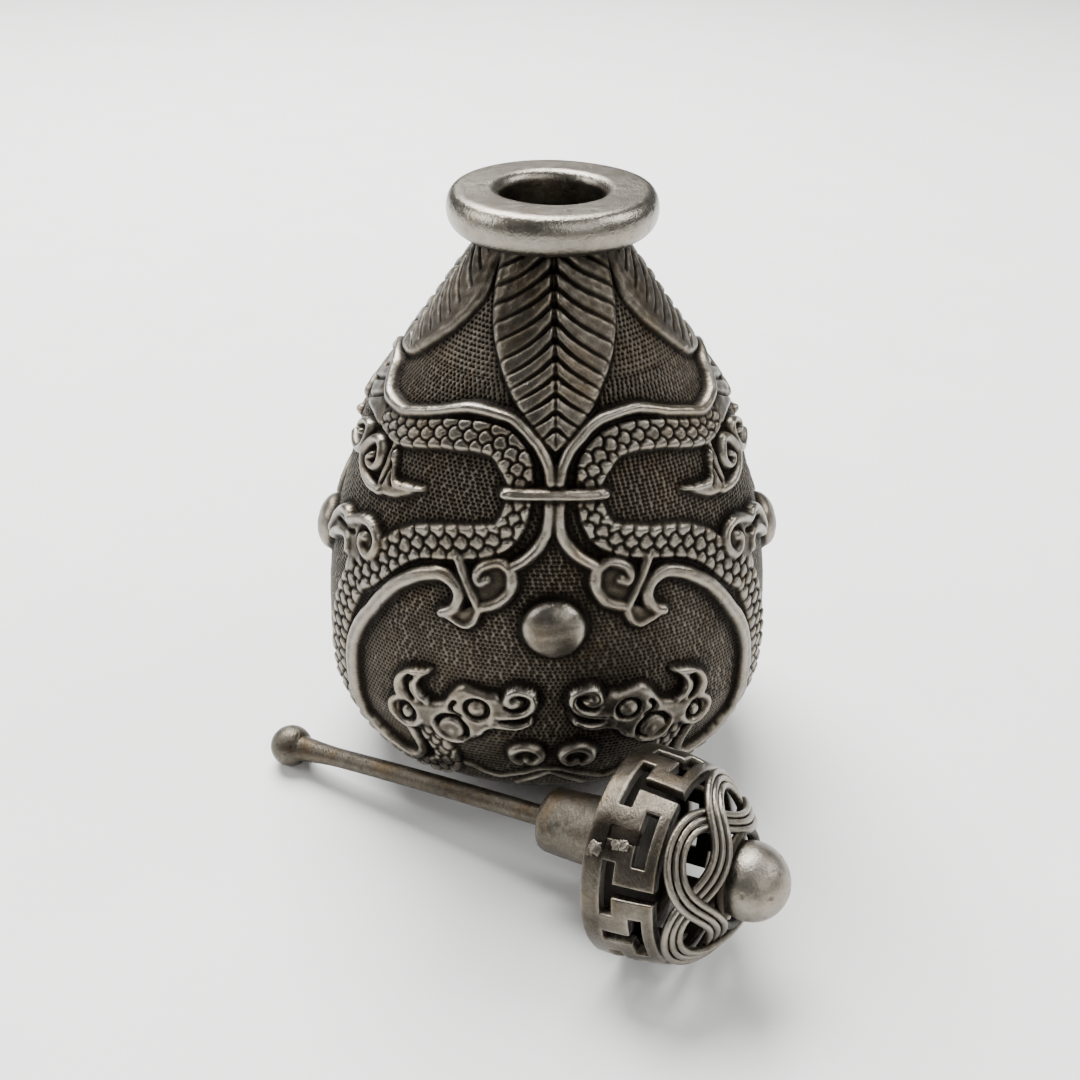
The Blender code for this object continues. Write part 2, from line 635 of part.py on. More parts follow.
def hollow_mesh():
    """The space in the bottle: the ground of the body moved in by the wall, and the bore."""
    z = height_of(np.array(CAVITY_LEVELS))
    radius = outline_radius(z) - GROUND_DEPTH
    step = BOTTLE_HEIGHT * 0.002
    slope = (outline_radius(z + step) - outline_radius(z - step)) / (2.0 * step)
    length = np.hypot(1.0, slope)
    inner_radius = radius - WALL / length
    inner_z = z + WALL * slope / length
    loss = outline_radius(inner_z) * (1.0 - flatness(inner_z))
    profile = []
    for r, h, less in zip(inner_radius, inner_z, loss):
        if h > 0.0 and (not profile or h > profile[-1][1]) and r > BORE_RADIUS:
            profile.append((r, h, less))
    neck = [(BORE_RADIUS, profile[-1][1] + CAVITY_NECK, 0.0), (BORE_RADIUS, BOTTLE_HEIGHT, 0.0)]
    losses = {h: less for _, h, less in profile + neck}

    def flatten(r, h):
        return r, max(r - losses[h], BORE_RADIUS)
    return turned("hollow", [(r, h) for r, h, _ in profile + neck], CAVITY_SIDES, flatten)


def build_ring(material):
    """The collar: a thick ring with a rounded outer edge and a flat top."""
    bottom = BOTTLE_HEIGHT - RING_HEIGHT
    nose = [(RING_RADIUS - RING_NOSE + RING_NOSE * math.cos(a),
             bottom + RING_HEIGHT / 2.0 + (RING_HEIGHT / 2.0) * math.sin(a))
            for a in np.radians(np.linspace(-90.0, 90.0, 6))]
    profile = [(BORE_RADIUS, bottom)] + nose + [
        (BORE_RADIUS + RING_LIP, BOTTLE_HEIGHT),
        (BORE_RADIUS + RING_LIP * 0.3, BOTTLE_HEIGHT - RING_LIP * 0.3),
        (BORE_RADIUS, BOTTLE_HEIGHT - RING_LIP),
    ]
    return new_object("mouth_ring", loop_turned("mouth_ring", profile, RING_SIDES), material)


def cap_radius(height):
    """The outer radius of the fret band at a height: a bulge that draws in to the top edge."""
    t = np.clip(height / CAP_HEIGHT, 0.0, 1.0)
    return CAP_RADIUS + (CAP_TOP_RADIUS - CAP_RADIUS) * t ** CAP_BULGE


def fret_cutter():
    """All the fret's holes as one solid for each: T cuts that stand, and T cuts upside down."""
    shape = bmesh.new()
    low_slot = (FRET_BASE, FRET_BASE + FRET_SLOT)
    high_slot = (low_slot[1] + FRET_STRAP, low_slot[1] + FRET_STRAP + FRET_SLOT)
    beyond = CAP_HEIGHT + GAP
    half = FRET_LENGTH / 2.0
    leg = FRET_LEG / 2.0
    standing = [(-leg, beyond), (-leg, low_slot[1]), (-half, low_slot[1]), (-half, low_slot[0]),
                (half, low_slot[0]), (half, low_slot[1]), (leg, low_slot[1]), (leg, beyond)]
    hanging = [(-leg, FRET_BASE), (leg, FRET_BASE), (leg, high_slot[0]), (half, high_slot[0]),
               (half, high_slot[1]), (-half, high_slot[1]), (-half, high_slot[0]),
               (-leg, high_slot[0])]
    for i in range(FRET_REPEATS):
        for outline, turn in ((standing, i), (hanging, i + 0.5)):
            angle = FRET_TURN + 2.0 * math.pi * turn / FRET_REPEATS
            rings = []
            for reach in (CAP_TOP_RADIUS - CAP_WALL * 2.0, CAP_RADIUS + CAP_WALL):
                ring = []
                for s, h in outline:
                    a = angle + s / CAP_RADIUS
                    ring.append(shape.verts.new((reach * math.cos(a), reach * math.sin(a), h)))
                rings.append(ring)
            shape.faces.new(rings[0])
            shape.faces.new(list(reversed(rings[1])))
            for j in range(len(outline)):
                k = (j + 1) % len(outline)
                shape.faces.new((rings[0][j], rings[1][j], rings[1][k], rings[0][k]))
    bmesh.ops.recalc_face_normals(shape, faces=shape.faces)
    mesh = bpy.data.meshes.new("fret cuts")
    shape.to_mesh(mesh)
    shape.free()
    return new_object("fret cuts", mesh)


def build_cap(material):
    """The cap: a round plate with a fret band standing on its edge."""
    heights = (0.0, FRET_BASE, CAP_HEIGHT * 0.5, CAP_HEIGHT * 0.76, CAP_HEIGHT)
    outer = [(float(cap_radius(h)), h) for h in heights]
    inner = [(r - CAP_WALL, h) for r, h in outer if h > CAP_PLATE][::-1]
    profile = [(0.0, 0.0)] + outer + inner
    profile.append((float(cap_radius(CAP_PLATE)) - CAP_WALL, CAP_PLATE))
    profile.append((0.0, CAP_PLATE))
    cap = new_object("stopper_fret_cap", turned("cap", profile, CAP_SIDES), material)
    boolean(cap, fret_cutter(), "DIFFERENCE")
    return cap


def knot_height(radius):
    """The height of the dome over the cap's underside at a radius."""
    t = np.maximum(KNOT_OUTER - radius, 0.0) / (KNOT_OUTER - KNOT_INNER)
    return CAP_HEIGHT + KNOT_SEAT + KNOT_RISE * t ** KNOT_DOME


def strap():
    """The knot's one strap: it goes twice round, and swings out to the edge for every eye."""
    count = KNOT_EYES * 10
    turn = np.linspace(0.0, 4.0 * math.pi, count, endpoint=False)
    swing = turn * KNOT_EYES / 2.0
    radius = (KNOT_OUTER + KNOT_INNER + (KNOT_OUTER - KNOT_INNER) * np.cos(swing)) / 2.0
    height = knot_height(radius) + KNOT_LIFT * np.sin(swing)
    angle = turn + KNOT_TURN
    middle = np.stack([radius * np.cos(angle), radius * np.sin(angle), height], axis=1)
    along = np.roll(middle, -1, axis=0) - np.roll(middle, 1, axis=0)
    along /= np.linalg.norm(along, axis=1)[:, None]
    tilt = math.atan2(KNOT_RISE, KNOT_OUTER - KNOT_INNER)
    up = np.stack([math.sin(tilt) * np.cos(angle), math.sin(tilt) * np.sin(angle),
                   np.full(count, math.cos(tilt))], axis=1)
    side = np.cross(along, up)
    side /= np.linalg.norm(side, axis=1)[:, None]
    up = np.cross(side, along)
    points = []
    for s, u in ((-1.0, -1.0), (-0.7, 1.0), (0.7, 1.0), (1.0, -1.0)):
        points.append(middle + side * s * KNOT_STRAP / 2.0 + up * u * KNOT_THICKNESS / 2.0)
    rows = len(points)
    stacked = np.concatenate(points)
    faces = []
    for i in range(count):
        j = (i + 1) % count
        for k in range(rows):
            m = (k + 1) % rows
            faces.append((k * count + i, k * count + j, m * count + j, m * count + i))
    return mesh_from("strap", stacked, faces)


def outward(item):
    """Turn an object's faces outwards."""
    shape = bmesh.new()
    shape.from_mesh(item.data)
    bmesh.ops.recalc_face_normals(shape, faces=shape.faces)
    shape.to_mesh(item.data)
    shape.free()
    return item


def build_knot(material):
    """The knotwork dome: a strap that passes over and under itself, and the hub it touches."""
    knot = outward(new_object("stopper_knotwork", strap(), material))
    level = float(knot_height(HUB_RADIUS + HUB_WIRE))
    hub = [(HUB_RADIUS + HUB_WIRE + HUB_WIRE * math.cos(a), level + HUB_WIRE * math.sin(a))
           for a in np.radians(np.arange(0.0, 360.0, 60.0))]
    boolean(knot, outward(new_object("hub", loop_turned("hub", hub, 18))), "UNION", True)
    return knot


def ball_profile(radius, centre, steps, low=0.0):
    """Points of a ball's outline from the bottom, or from the radius of a neck, to the top."""
    start = -math.pi / 2.0 if low == 0.0 else -math.acos(min(low / radius, 1.0))
    profile = []
    for angle in np.linspace(start, math.pi / 2.0, steps):
        profile.append((radius * math.cos(angle), centre + radius * math.sin(angle)))
    if low == 0.0:
        profile[0] = (0.0, centre - radius)
    profile[-1] = (0.0, centre + radius)
    return profile


def build_finial(material):
    """The ball on top."""
    mesh = turned("stopper_finial", ball_profile(FINIAL_RADIUS, FINIAL_HEIGHT, 10), 16)
    return new_object("stopper_finial", mesh, material)


def build_plug(material):
    """The plug under the cap, with a rounded lower end."""
    end = -GAP - PLUG_LENGTH
    profile = [(PLUG_END_RADIUS - PLUG_CHAMFER, end), (PLUG_END_RADIUS, end + PLUG_CHAMFER),
               (PLUG_RADIUS, -GAP)]
    return new_object("stopper_plug", turned("stopper_plug", profile, 24), material)


def build_spoon(material):
    """The rod below the plug, which widens into the ball at its tip."""
    tip = FINIAL_HEIGHT - STOPPER_LENGTH
    start = -2.0 * GAP - PLUG_LENGTH
    neck = math.sqrt(SPOON_RADIUS ** 2 - ROD_TIP_RADIUS ** 2)
    profile = ball_profile(SPOON_RADIUS, 0.0, 8, ROD_TIP_RADIUS)
    profile = [(r, tip - h) for r, h in reversed(profile)]
    profile.append(((ROD_RADIUS + ROD_TIP_RADIUS) / 2.0, tip + neck + ROD_FLARE * 0.35))
    profile.append((ROD_RADIUS, tip + neck + ROD_FLARE))
    profile.append((ROD_RADIUS, start))
    return new_object("spoon_rod", turned("spoon_rod", profile, 12), material)


def stopper_places():
    """Where the stopper lies: its cap's rim and the ball of its spoon rest on the ground."""
    reach = STOPPER_LENGTH - FINIAL_HEIGHT
    low, high = 0.0, math.radians(40.0)
    for _ in range(60):
        tilt = (low + high) / 2.0
        rim = SPOON_RADIUS + reach * math.sin(tilt) - CAP_RADIUS * math.cos(tilt)
        low, high = (tilt, high) if rim < 0.0 else (low, tilt)
    flat = Vector((math.cos(STOPPER_HEADING), math.sin(STOPPER_HEADING), 0.0))
    axis = flat * math.cos(tilt) + Vector((0.0, 0.0, math.sin(tilt)))
    tip = Vector((STOPPER_TIP[0], STOPPER_TIP[1], SPOON_RADIUS))
    across = Vector((0.0, 0.0, 1.0)).cross(axis).normalized()
    turn = Matrix((across, axis.cross(across), axis)).transposed().to_4x4()
    cap_base = tip + axis * reach
    cap_frame = Matrix.Translation(cap_base) @ turn
    raised = cap_base + axis.cross(across) * PLUG_OFFSET - tip
    lean = axis.rotation_difference(raised.normalized()).to_matrix().to_4x4()
    plug_frame = Matrix.Translation(cap_base + axis.cross(across) * PLUG_OFFSET) @ lean @ turn
    return cap_frame, plug_frame


def build():
    """Make every piece and put the stopper in its place."""
    remove_everything()
    grey = metal("antique metal", (0.42, 0.40, 0.36), 0.38)
    pale = metal("worn metal", (0.55, 0.53, 0.49), 0.34)
    dull = metal("dull metal", (0.38, 0.34, 0.31), 0.45)
    build_body(grey)
    build_ring(pale)
    cap_frame, plug_frame = stopper_places()
    for item in (build_cap(pale), build_knot(pale), build_finial(pale)):
        item.matrix_world = cap_frame
    for item in (build_plug(dull), build_spoon(dull)):
        item.matrix_world = plug_frame


build()
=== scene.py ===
"""The finish of a cast-metal snuff bottle with dragons in relief, and of the stopper that lies before it.

The bottle stands on the origin and its front faces -Y. The carving is drawn once, in degrees
round from the front and in units up the side outline (a unit is a millimetre there). It is
mirrored four ways, and becomes the height of a fine grid over the ground of the bottle.
"""

import json
import math

import bpy
import numpy as np
from mathutils import Matrix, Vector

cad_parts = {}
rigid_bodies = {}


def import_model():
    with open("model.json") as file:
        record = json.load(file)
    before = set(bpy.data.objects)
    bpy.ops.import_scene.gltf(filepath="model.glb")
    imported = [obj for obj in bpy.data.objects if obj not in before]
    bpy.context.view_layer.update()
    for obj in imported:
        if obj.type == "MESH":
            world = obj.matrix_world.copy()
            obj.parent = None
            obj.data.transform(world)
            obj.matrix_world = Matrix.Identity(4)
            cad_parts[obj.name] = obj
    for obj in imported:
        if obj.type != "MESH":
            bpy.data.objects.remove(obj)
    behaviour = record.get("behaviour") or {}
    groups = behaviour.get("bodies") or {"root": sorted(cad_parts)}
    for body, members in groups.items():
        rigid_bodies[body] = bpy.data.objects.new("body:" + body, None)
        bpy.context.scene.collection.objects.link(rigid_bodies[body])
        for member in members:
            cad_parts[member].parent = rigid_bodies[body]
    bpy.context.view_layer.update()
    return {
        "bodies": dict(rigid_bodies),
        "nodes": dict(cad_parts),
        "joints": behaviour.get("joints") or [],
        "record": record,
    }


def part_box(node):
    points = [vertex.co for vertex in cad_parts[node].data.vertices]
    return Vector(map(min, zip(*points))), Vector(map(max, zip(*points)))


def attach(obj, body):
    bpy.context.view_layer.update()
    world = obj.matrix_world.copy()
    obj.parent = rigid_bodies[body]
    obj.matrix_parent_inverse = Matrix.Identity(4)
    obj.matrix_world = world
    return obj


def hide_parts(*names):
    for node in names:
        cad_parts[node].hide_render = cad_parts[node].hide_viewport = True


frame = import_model()

bl_info = {
    "name": "Snuff bottle finish",
    "version": (1, 0, 0),
    "blender": (4, 5, 0),
    "location": "View3D > Sidebar > Snuff bottle",
    "description": "Builds the fine relief, the openwork stopper and the antiqued metal",
    "category": "Add Mesh",
}

MM = 0.001
BOTTLE_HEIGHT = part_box("mouth_ring")[1].z
BODY_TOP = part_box("bottle_body")[1].z
HALF_WIDTH = 0.0266
FLATNESS = 0.85
# How far the ground lies under the outline, in units of the drawing
GROUND_DEPTH = 0.8
WALL = 0.002
BORE = 0.0052
# The length of the side outline in units, from the foot to the mouth
OUTLINE_UNITS = 79.2

# The side outline over the relief, as shares of the height and of half the width
OUTLINE = np.array((
    (0.0194, 0.489), (0.0254, 0.639), (0.0388, 0.763), (0.0597, 0.850), (0.0896, 0.910),
    (0.1403, 0.962), (0.2164, 1.000), (0.3119, 0.989), (0.4269, 0.947), (0.5418, 0.865),
    (0.6567, 0.767), (0.7612, 0.583), (0.8567, 0.410), (0.9433, 0.271), (1.0000, 0.256),
))
# The shares of the height between which the flattened belly becomes round
FLAT_FROM = 0.52
FLAT_TO = 0.93

# The drawing, as (degrees from the front, units up the outline)
UPPER_CORD = ((1.2, 51.7), (1.7, 53), (3, 54.3), (5, 55.5), (7.7, 56.5), (11, 57.5), (15, 58.25),
              (20, 58.6), (25, 58.75), (30, 58.7), (35, 58.3), (40, 57.7), (45, 57.1), (50, 56.5),
              (54, 56.0), (58, 55.9), (65.4, 56.15), (69, 56.4), (72.3, 57), (75.4, 57.7),
              (78.5, 58.55), (81, 59), (85, 59.3), (90, 59.5), (95, 59.3))
UPPER_ARM = ((9.5, 51.5), (11, 53.2), (14, 54.8), (18, 55.7), (24, 56), (30, 55.8), (36, 55.5),
             (42, 54.8), (48, 54.2), (54, 53.9), (62, 54.3))
LOWER_ARM = ((9.5, 49.3), (10.8, 47.2), (13.5, 45.6), (18, 44.8), (24, 44.2), (30, 43.7),
             (36, 43.2), (41, 42.2), (45, 40.8), (50, 38.5), (54, 37), (57.5, 36), (59.7, 34),
             (61.7, 32), (63, 30), (64.5, 28), (65.2, 26), (65.2, 24), (63.7, 22), (62, 20),
             (59, 18), (55, 16.5), (50, 15), (45, 14), (40, 13.3), (35, 13), (30, 13.8),
             (27, 15.5), (27, 17.5), (29, 19.5), (30.5, 21))
LOWER_CORD = ((1.3, 49.3), (1.2, 48), (1.8, 46.3), (3.3, 45), (5.7, 43.8), (8, 43),
              (10.7, 42.25), (10.3, 41.5), (10.2, 40.2), (11.7, 39), (14, 38.2), (16.7, 37.8))
FRONT_CURL = ((11.2, 42.3), (13.2, 42.75), (16, 42.5), (18.2, 41.9), (18.9, 41.0), (17.9, 40.4),
              (16.4, 40.8))
FRONT_DISC = ((10.3, 42.5), (10.1, 40.2), (11.7, 38.9), (14, 38.1), (17, 38.0), (19.3, 38.9),
              (20.9, 40.2), (20.6, 41.8), (18, 42.8), (14, 43.2))
STEM = ((24.2, 42.6), (22.7, 41.3), (21, 40), (19.3, 38.7), (17.6, 37.5))
BODY_RIM = ((27.1, 36.4), (24.7, 36.9), (23.3, 37.8), (23, 38.8), (24, 39.7), (26, 40.3),
            (28.7, 40.6), (32, 40.3), (35.3, 39.7), (38.7, 38.7), (41.5, 37.7), (44.3, 36.3),
            (47, 34.8), (49.3, 33.3), (51.3, 32.1), (53.3, 30.6), (55, 29), (56.3, 27.3),
            (56.8, 25.6), (56.8, 23.9), (56.3, 22.3), (55.7, 20.8), (55, 19.4), (54.3, 18),
            (52.3, 17.1), (50, 16.3), (46.7, 15.6), (43.3, 15.1), (40, 14.7), (37.3, 14.8),
            (35.3, 15.4), (34, 16.4), (33.8, 17.7), (34.3, 19), (35.3, 20.2), (36.3, 21))
HOOK = ((27.6, 36.5), (25.2, 35.9), (23.0, 35.3), (20.7, 35.0), (18.3, 35.7), (17.0, 37.2),
        (18.0, 38.3), (20.4, 37.7), (22.8, 37.3), (24.7, 37.3))
HOOK_EDGE = ((27.2, 36.4), (24.5, 35.9), (22.3, 35.5), (20.6, 35.4), (18.8, 36.0), (17.6, 37.3))
HIND_CLAW = ((37.3, 48.9), (40, 48.8), (43.3, 48.65), (47.4, 48.5), (50.3, 49.2), (51.6, 51.2),
             (52.2, 52.6), (53.8, 52.2), (54.6, 49.8), (55.8, 47.8), (54.6, 46.6), (51.9, 46.3),
             (48.1, 46.5), (45, 46.95), (40.7, 47.8))
CLAW_EDGE = ((37.8, 48.75), (40, 48.6), (43.3, 48.4), (47.6, 48.3), (50.4, 49.2), (51.9, 51.4))
CLAW_STEMS = (((52.4, 51.8), (51.9, 50.2), (52.4, 48.9), (53.4, 47.7)),
              ((51.4, 50.4), (50.4, 49.0), (49.2, 48.0)))
SIDE_CURL = ((53.8, 46.7), (57.7, 46.7), (61.5, 47.1), (64.6, 47.8), (66.9, 49.1), (66.5, 50),
             (64.2, 51.15), (61.5, 51.7), (59.2, 51.7), (57.3, 50.8), (56.9, 49.7), (58.5, 48.8),
             (61.5, 48.7), (63.0, 49.2), (61.4, 49.8))
TAIL_CURL = ((81, 49.3), (76.2, 48.75), (72.3, 48.8), (69.2, 49.7), (68, 51), (69.2, 52.1),
             (73, 52.1), (76.8, 51.3), (76.4, 50.5), (74.2, 50.6))
TAIL_PLATE = ((64, 53), (72, 53.3), (80.8, 53.2), (82.3, 53.65), (88, 54.5), (92, 54.8),
              (92, 58.9), (85, 58.7), (80, 58.2), (75.4, 57.0), (71, 56.0), (65.4, 55.6))
TAIL_STRIPES = (((76.2, 57.3), (82, 56.3), (88.5, 55.3)), ((70.4, 56.15), (76, 55.0), (81.9, 53.9)),
                ((83.5, 58.2), (88, 57.3), (93, 56.3)))
FLAME = ((79, 37.2), (76.9, 39.1), (74.6, 40.6), (71.5, 41.7), (68, 42.1), (66.2, 41.5),
         (63.8, 41.7), (61.2, 42.4), (57.7, 42.9), (54.2, 42.9), (51.2, 42.3), (49.6, 41.1),
         (49.8, 39.9), (51.5, 38.9), (54.2, 38.6), (57.5, 37.5), (63.3, 35.8), (63.0, 37.6),
         (64.5, 38.9), (67.4, 39.3), (70, 39.1), (73.8, 38.2))
FLAME_CUTS = (((73.1, 39.9), (69, 40.1), (65.4, 39.9), (61.5, 40.4)),
              ((51.8, 41.0), (53, 41.7), (56, 41.8), (58.6, 41.2), (58.4, 40.2), (56.4, 40.4)))
FLAME_EDGE = ((79, 37.4), (76.9, 39.0), (74.6, 40.4), (71.5, 41.4), (68, 41.7), (65.4, 41.2),
              (61.2, 42.0), (57.7, 42.5), (54.2, 42.5), (51.2, 41.9), (50.2, 41.0), (50.6, 40.0),
              (52.3, 39.3), (54.6, 39.2), (56.7, 39.8), (56.9, 40.6), (55.4, 40.9))
FLAME_LOBE = ((76.9, 37.1), (73.8, 38.2), (70, 39.0), (66.2, 39.4), (63.8, 39.1), (62.9, 38))
HEAD = ((28.5, 21.2), (26.5, 21.0), (25.7, 20.7), (24, 20.2), (22, 20.2), (19.3, 20.7),
        (17.3, 21.2), (15.7, 22.2), (14.7, 22.9), (12, 23.1), (9.3, 23.2), (7, 23.5), (5, 24.3),
        (4.2, 25.7), (3.7, 27.0), (4.6, 28.1), (6.5, 28.8), (8.6, 29.0), (10.3, 28.4),
        (11.3, 27.3), (13.3, 27.7), (15.3, 27.7), (18, 28), (20.7, 28.2), (23, 27.7),
        (24.7, 26.7), (26, 25.7), (28, 25.2), (31, 25.0), (34.5, 24.4), (38.4, 23.6),
        (37.5, 21.4), (33.3, 21.2))
MOUTH = ((12.7, 24.2), (10, 24.75), (7.3, 25.1), (5, 25.8), (3.6, 26.2), (3.9, 24.9),
         (5.3, 24.6), (7.3, 23.95), (10, 23.8))
EAR = ((29, 29), (32, 28.8), (35, 28.35), (37.5, 27.7), (39.2, 26.7), (39.6, 25.5),
       (38.6, 24.1), (35, 23.8), (31.4, 24.4), (31.6, 25.2), (33.0, 26.0), (33.1, 26.9),
       (32.2, 27.7), (30.6, 28.3))
EAR_EDGE = ((29.6, 28.8), (32, 28.5), (35, 28.0), (37.2, 27.3), (38.5, 26.4), (38.7, 25.4),
            (37.6, 24.4))
EAR_INNER = ((30.4, 28.5), (32.3, 27.8), (33.5, 26.9), (33.5, 26.1), (32.4, 25.3), (30.6, 24.9))
EAR_SLOT = ((34.9, 27.5), (36.0, 26.8), (36.3, 26.1), (35.9, 25.4), (34.6, 24.7))
BROW = ((23, 25.9), (24.2, 25.1), (23.6, 24.5), (21.7, 24.1))
NOSE = ((12.4, 24.9), (9.4, 25.1), (6.8, 25.5), (5.0, 26.2), (4.4, 27.2), (5.2, 28.0),
        (7.0, 28.3), (9.0, 28.3), (10.4, 27.8), (10.6, 27.0), (9.5, 26.6), (8.4, 26.9))
NOSE_HOLE = ((10.7, 26.3), (9.6, 25.9), (7.6, 26.1), (6.2, 26.7), (6.4, 27.4), (7.8, 27.6))
CHEEK = ((28.2, 21.9), (27.4, 23.0), (25.6, 23.7), (23.4, 23.8), (21.4, 23.3), (20.2, 22.4),
         (20.3, 21.4), (21.8, 20.9))
CHEEK_ARM = ((28.6, 22.3), (27.2, 21.2), (25.2, 20.6), (23.0, 20.5), (20.8, 20.8))
EAR_CURL = ((38.6, 24.1), (40.2, 23.5), (40.9, 22.6), (39.9, 21.6), (37.7, 21.0),
            (35.3, 21.0), (33.0, 21.5), (31.6, 22.4))
EYE = (17.7, 25.4)
JAW_LINE = ((5.2, 24.2), (8.0, 23.5), (12.2, 23.4), (15.0, 23.1), (17.0, 22.0))
LIP_LINE = ((4.9, 26.3), (8.0, 25.5), (11.4, 25.3), (13.6, 24.7), (14.2, 23.8))
FOOT_CURL = ((7.2, 17.9), (8.8, 18.4), (9.4, 19.2), (8.4, 20.1), (6, 20.6), (3.4, 20.2),
             (2.3, 19.2), (3.2, 18.3), (4.6, 18.0), (5.8, 18.4))
FOOT_DISC = ((9.2, 18.0), (9.6, 19.4), (8.4, 20.4), (6, 20.9), (3.2, 20.5), (2.0, 19.2),
             (3.0, 17.9), (6.0, 17.5))
ARC_LOW = ((22, 15.7), (19.3, 15.5), (17.3, 14.8), (14.3, 14.1), (12, 14.2), (8.7, 14.9),
           (5.3, 15.7), (2.6, 16.3), (0, 16.4), (-2.5, 16.2))
ARC_FOOT = ((9.0, 12.4), (6, 13.6), (3, 14.6), (0.7, 15.4), (-1.5, 15.8))
CLASP = ((-13.2, 50.42), (0.0, 50.42), (13.2, 50.42))
FRONT_LEAF = ((54.9, 0.4), (56.0, 4.4), (57.0, 7.0), (58.3, 10.8), (59.9, 15.0), (61.5, 18.6),
              (63.1, 22.6), (64.6, 26.2), (66.1, 29.8), (67.6, 33.2), (70.0, 38.0), (72.0, 42.0),
              (74.0, 45.0), (77.0, 47.0))
SIDE_LEAF = ((59.8, 0.4), (60.5, 15.0), (61.6, 22.0), (63.4, 28.0), (65.8, 36.0), (67.8, 42.0),
             (70.2, 47.0), (72.8, 46.0), (77.0, 44.0))
BOSS_LEVEL = 35.8
EAR_MIDDLE = (36.0, 22.6)
CHEEK_MIDDLE = (23.7, 22.0)
CLASP_LINE = ((-11.5, 50.5), (0.0, 50.5), (11.5, 50.5))


def smooth(t):
    """A step from 0 to 1 with level ends: three t squared less two t cubed."""
    t = np.clip(t, 0.0, 1.0)
    return t * t * (3.0 - 2.0 * t)


def dome(t):
    """A quarter round from 0 at the edge to 1: the root of one less the square of one less t."""
    return np.sqrt(np.clip(1.0 - (1.0 - np.clip(t, 0.0, 1.0)) ** 2, 0.0, 1.0))


def pairs(first, second):
    """Points from two coordinates, either of which may be one number for all of them."""
    return np.stack(np.broadcast_arrays(first, second), axis=-1)


def about_axis(radius, turn, height):
    """Points at a radius and an angle about Z: radius times cosine, radius times sine, height."""
    flat = (radius * np.cos(turn), radius * np.sin(turn), height)
    return np.stack(np.broadcast_arrays(*flat), axis=-1)


def full_turn(sides):
    """Evenly spaced angles round a full turn."""
    return np.linspace(0.0, 2.0 * math.pi, sides, endpoint=False)


def unit_rows(vectors):
    """The same directions with a length of one."""
    return vectors / np.linalg.norm(vectors, axis=-1, keepdims=True)


def monotone_slopes(xs, ys):
    """Slopes of a monotone cubic: weighted harmonic means of the slopes on either side."""
    h = np.diff(xs)
    d = np.diff(ys) / h
    slopes = np.zeros(len(xs))
    a = 2.0 * h[1:] + h[:-1]
    b = h[1:] + 2.0 * h[:-1]
    same = d[:-1] * d[1:] > 0.0
    safe = np.where(d == 0.0, 1.0, d)
    slopes[1:-1] = np.where(same, (a + b) / (a / safe[:-1] + b / safe[1:]), 0.0)
    slopes[0] = ((2.0 * h[0] + h[1]) * d[0] - h[0] * d[1]) / (h[0] + h[1])
    slopes[-1] = d[-1] * 0.5
    return slopes


HEIGHTS = OUTLINE[:, 0] * BOTTLE_HEIGHT
RADII = OUTLINE[:, 1] * HALF_WIDTH
SLOPES = monotone_slopes(HEIGHTS, RADII)


def outline_radius(z):
    """Half the width over the relief at a height, by the monotone cubic through the outline."""
    z = np.clip(z, HEIGHTS[0], HEIGHTS[-1])
    i = np.clip(np.searchsorted(HEIGHTS, z) - 1, 0, len(HEIGHTS) - 2)
    h = HEIGHTS[i + 1] - HEIGHTS[i]
    t = (z - HEIGHTS[i]) / h
    return (RADII[i] * (1 + 2 * t) * (1 - t) ** 2 + RADII[i + 1] * t * t * (3 - 2 * t)
            + h * SLOPES[i] * t * (1 - t) ** 2 + h * SLOPES[i + 1] * t * t * (t - 1))


FINE_Z = np.linspace(HEIGHTS[0], HEIGHTS[-1], 3000)
FINE_R = outline_radius(FINE_Z)
FINE_ARC = np.concatenate(([0.0], np.cumsum(np.hypot(np.diff(FINE_Z), np.diff(FINE_R)))))
UNIT = FINE_ARC[-1] / OUTLINE_UNITS


def height_of(level):
    """The height of a level of the drawing, by its length up the outline."""
    return np.interp(level, FINE_ARC / UNIT, FINE_Z)


def flatness(z):
    """Depth over width at a height: the flattened belly eases into the round neck."""
    t = (z / BOTTLE_HEIGHT - FLAT_FROM) / (FLAT_TO - FLAT_FROM)
    return FLATNESS + (1.0 - FLATNESS) * smooth(t)


def degree_units(across, level):
    """The length of one degree on the bottle, in units, at points of the drawing."""
    z = height_of(level)
    angle = np.radians(across)
    stretch = np.hypot(np.cos(angle), flatness(z) * np.sin(angle))
    return np.radians(1.0) * outline_radius(z) * stretch / UNIT


def envelope(across, level):
    """The point over the relief: radius times sine, less flattened radius times cosine, height."""
    z = height_of(level)
    radius = outline_radius(z)
    angle = np.radians(across)
    return np.stack([radius * np.sin(angle), -radius * flatness(z) * np.cos(angle),
                     z + 0.0 * angle], axis=-1)


def on_bottle(across, level, lift):
    """A point of the drawing raised from the ground along the envelope's normal.

    The normal is the cross product of the small steps round and up, made one long.
    """
    step = 0.25
    middle = envelope(across, level)
    round_step = envelope(across + step, level) - envelope(across - step, level)
    up_step = envelope(across, level + step) - envelope(across, np.maximum(level - step, 0.0))
    normal = unit_rows(np.cross(round_step, up_step))
    return middle + normal * ((lift - GROUND_DEPTH) * UNIT)[..., None]


def chance(number, row):
    """A share from 0 to 1 that is the same each time: what is left of a very large sine."""
    wave = np.sin(number * 12.9898 + row * 78.233) * 43758.5453
    return wave - np.floor(wave)


def lengths_on_bottle(curve):
    """The scale at each point of a curve, its steps on the bottle, and the length run so far."""
    scale = degree_units(curve[:, 0], curve[:, 1])
    steps = np.hypot(np.diff(curve[:, 0]) * scale[:-1], np.diff(curve[:, 1]))
    return scale, steps, np.concatenate(([0.0], np.cumsum(steps)))


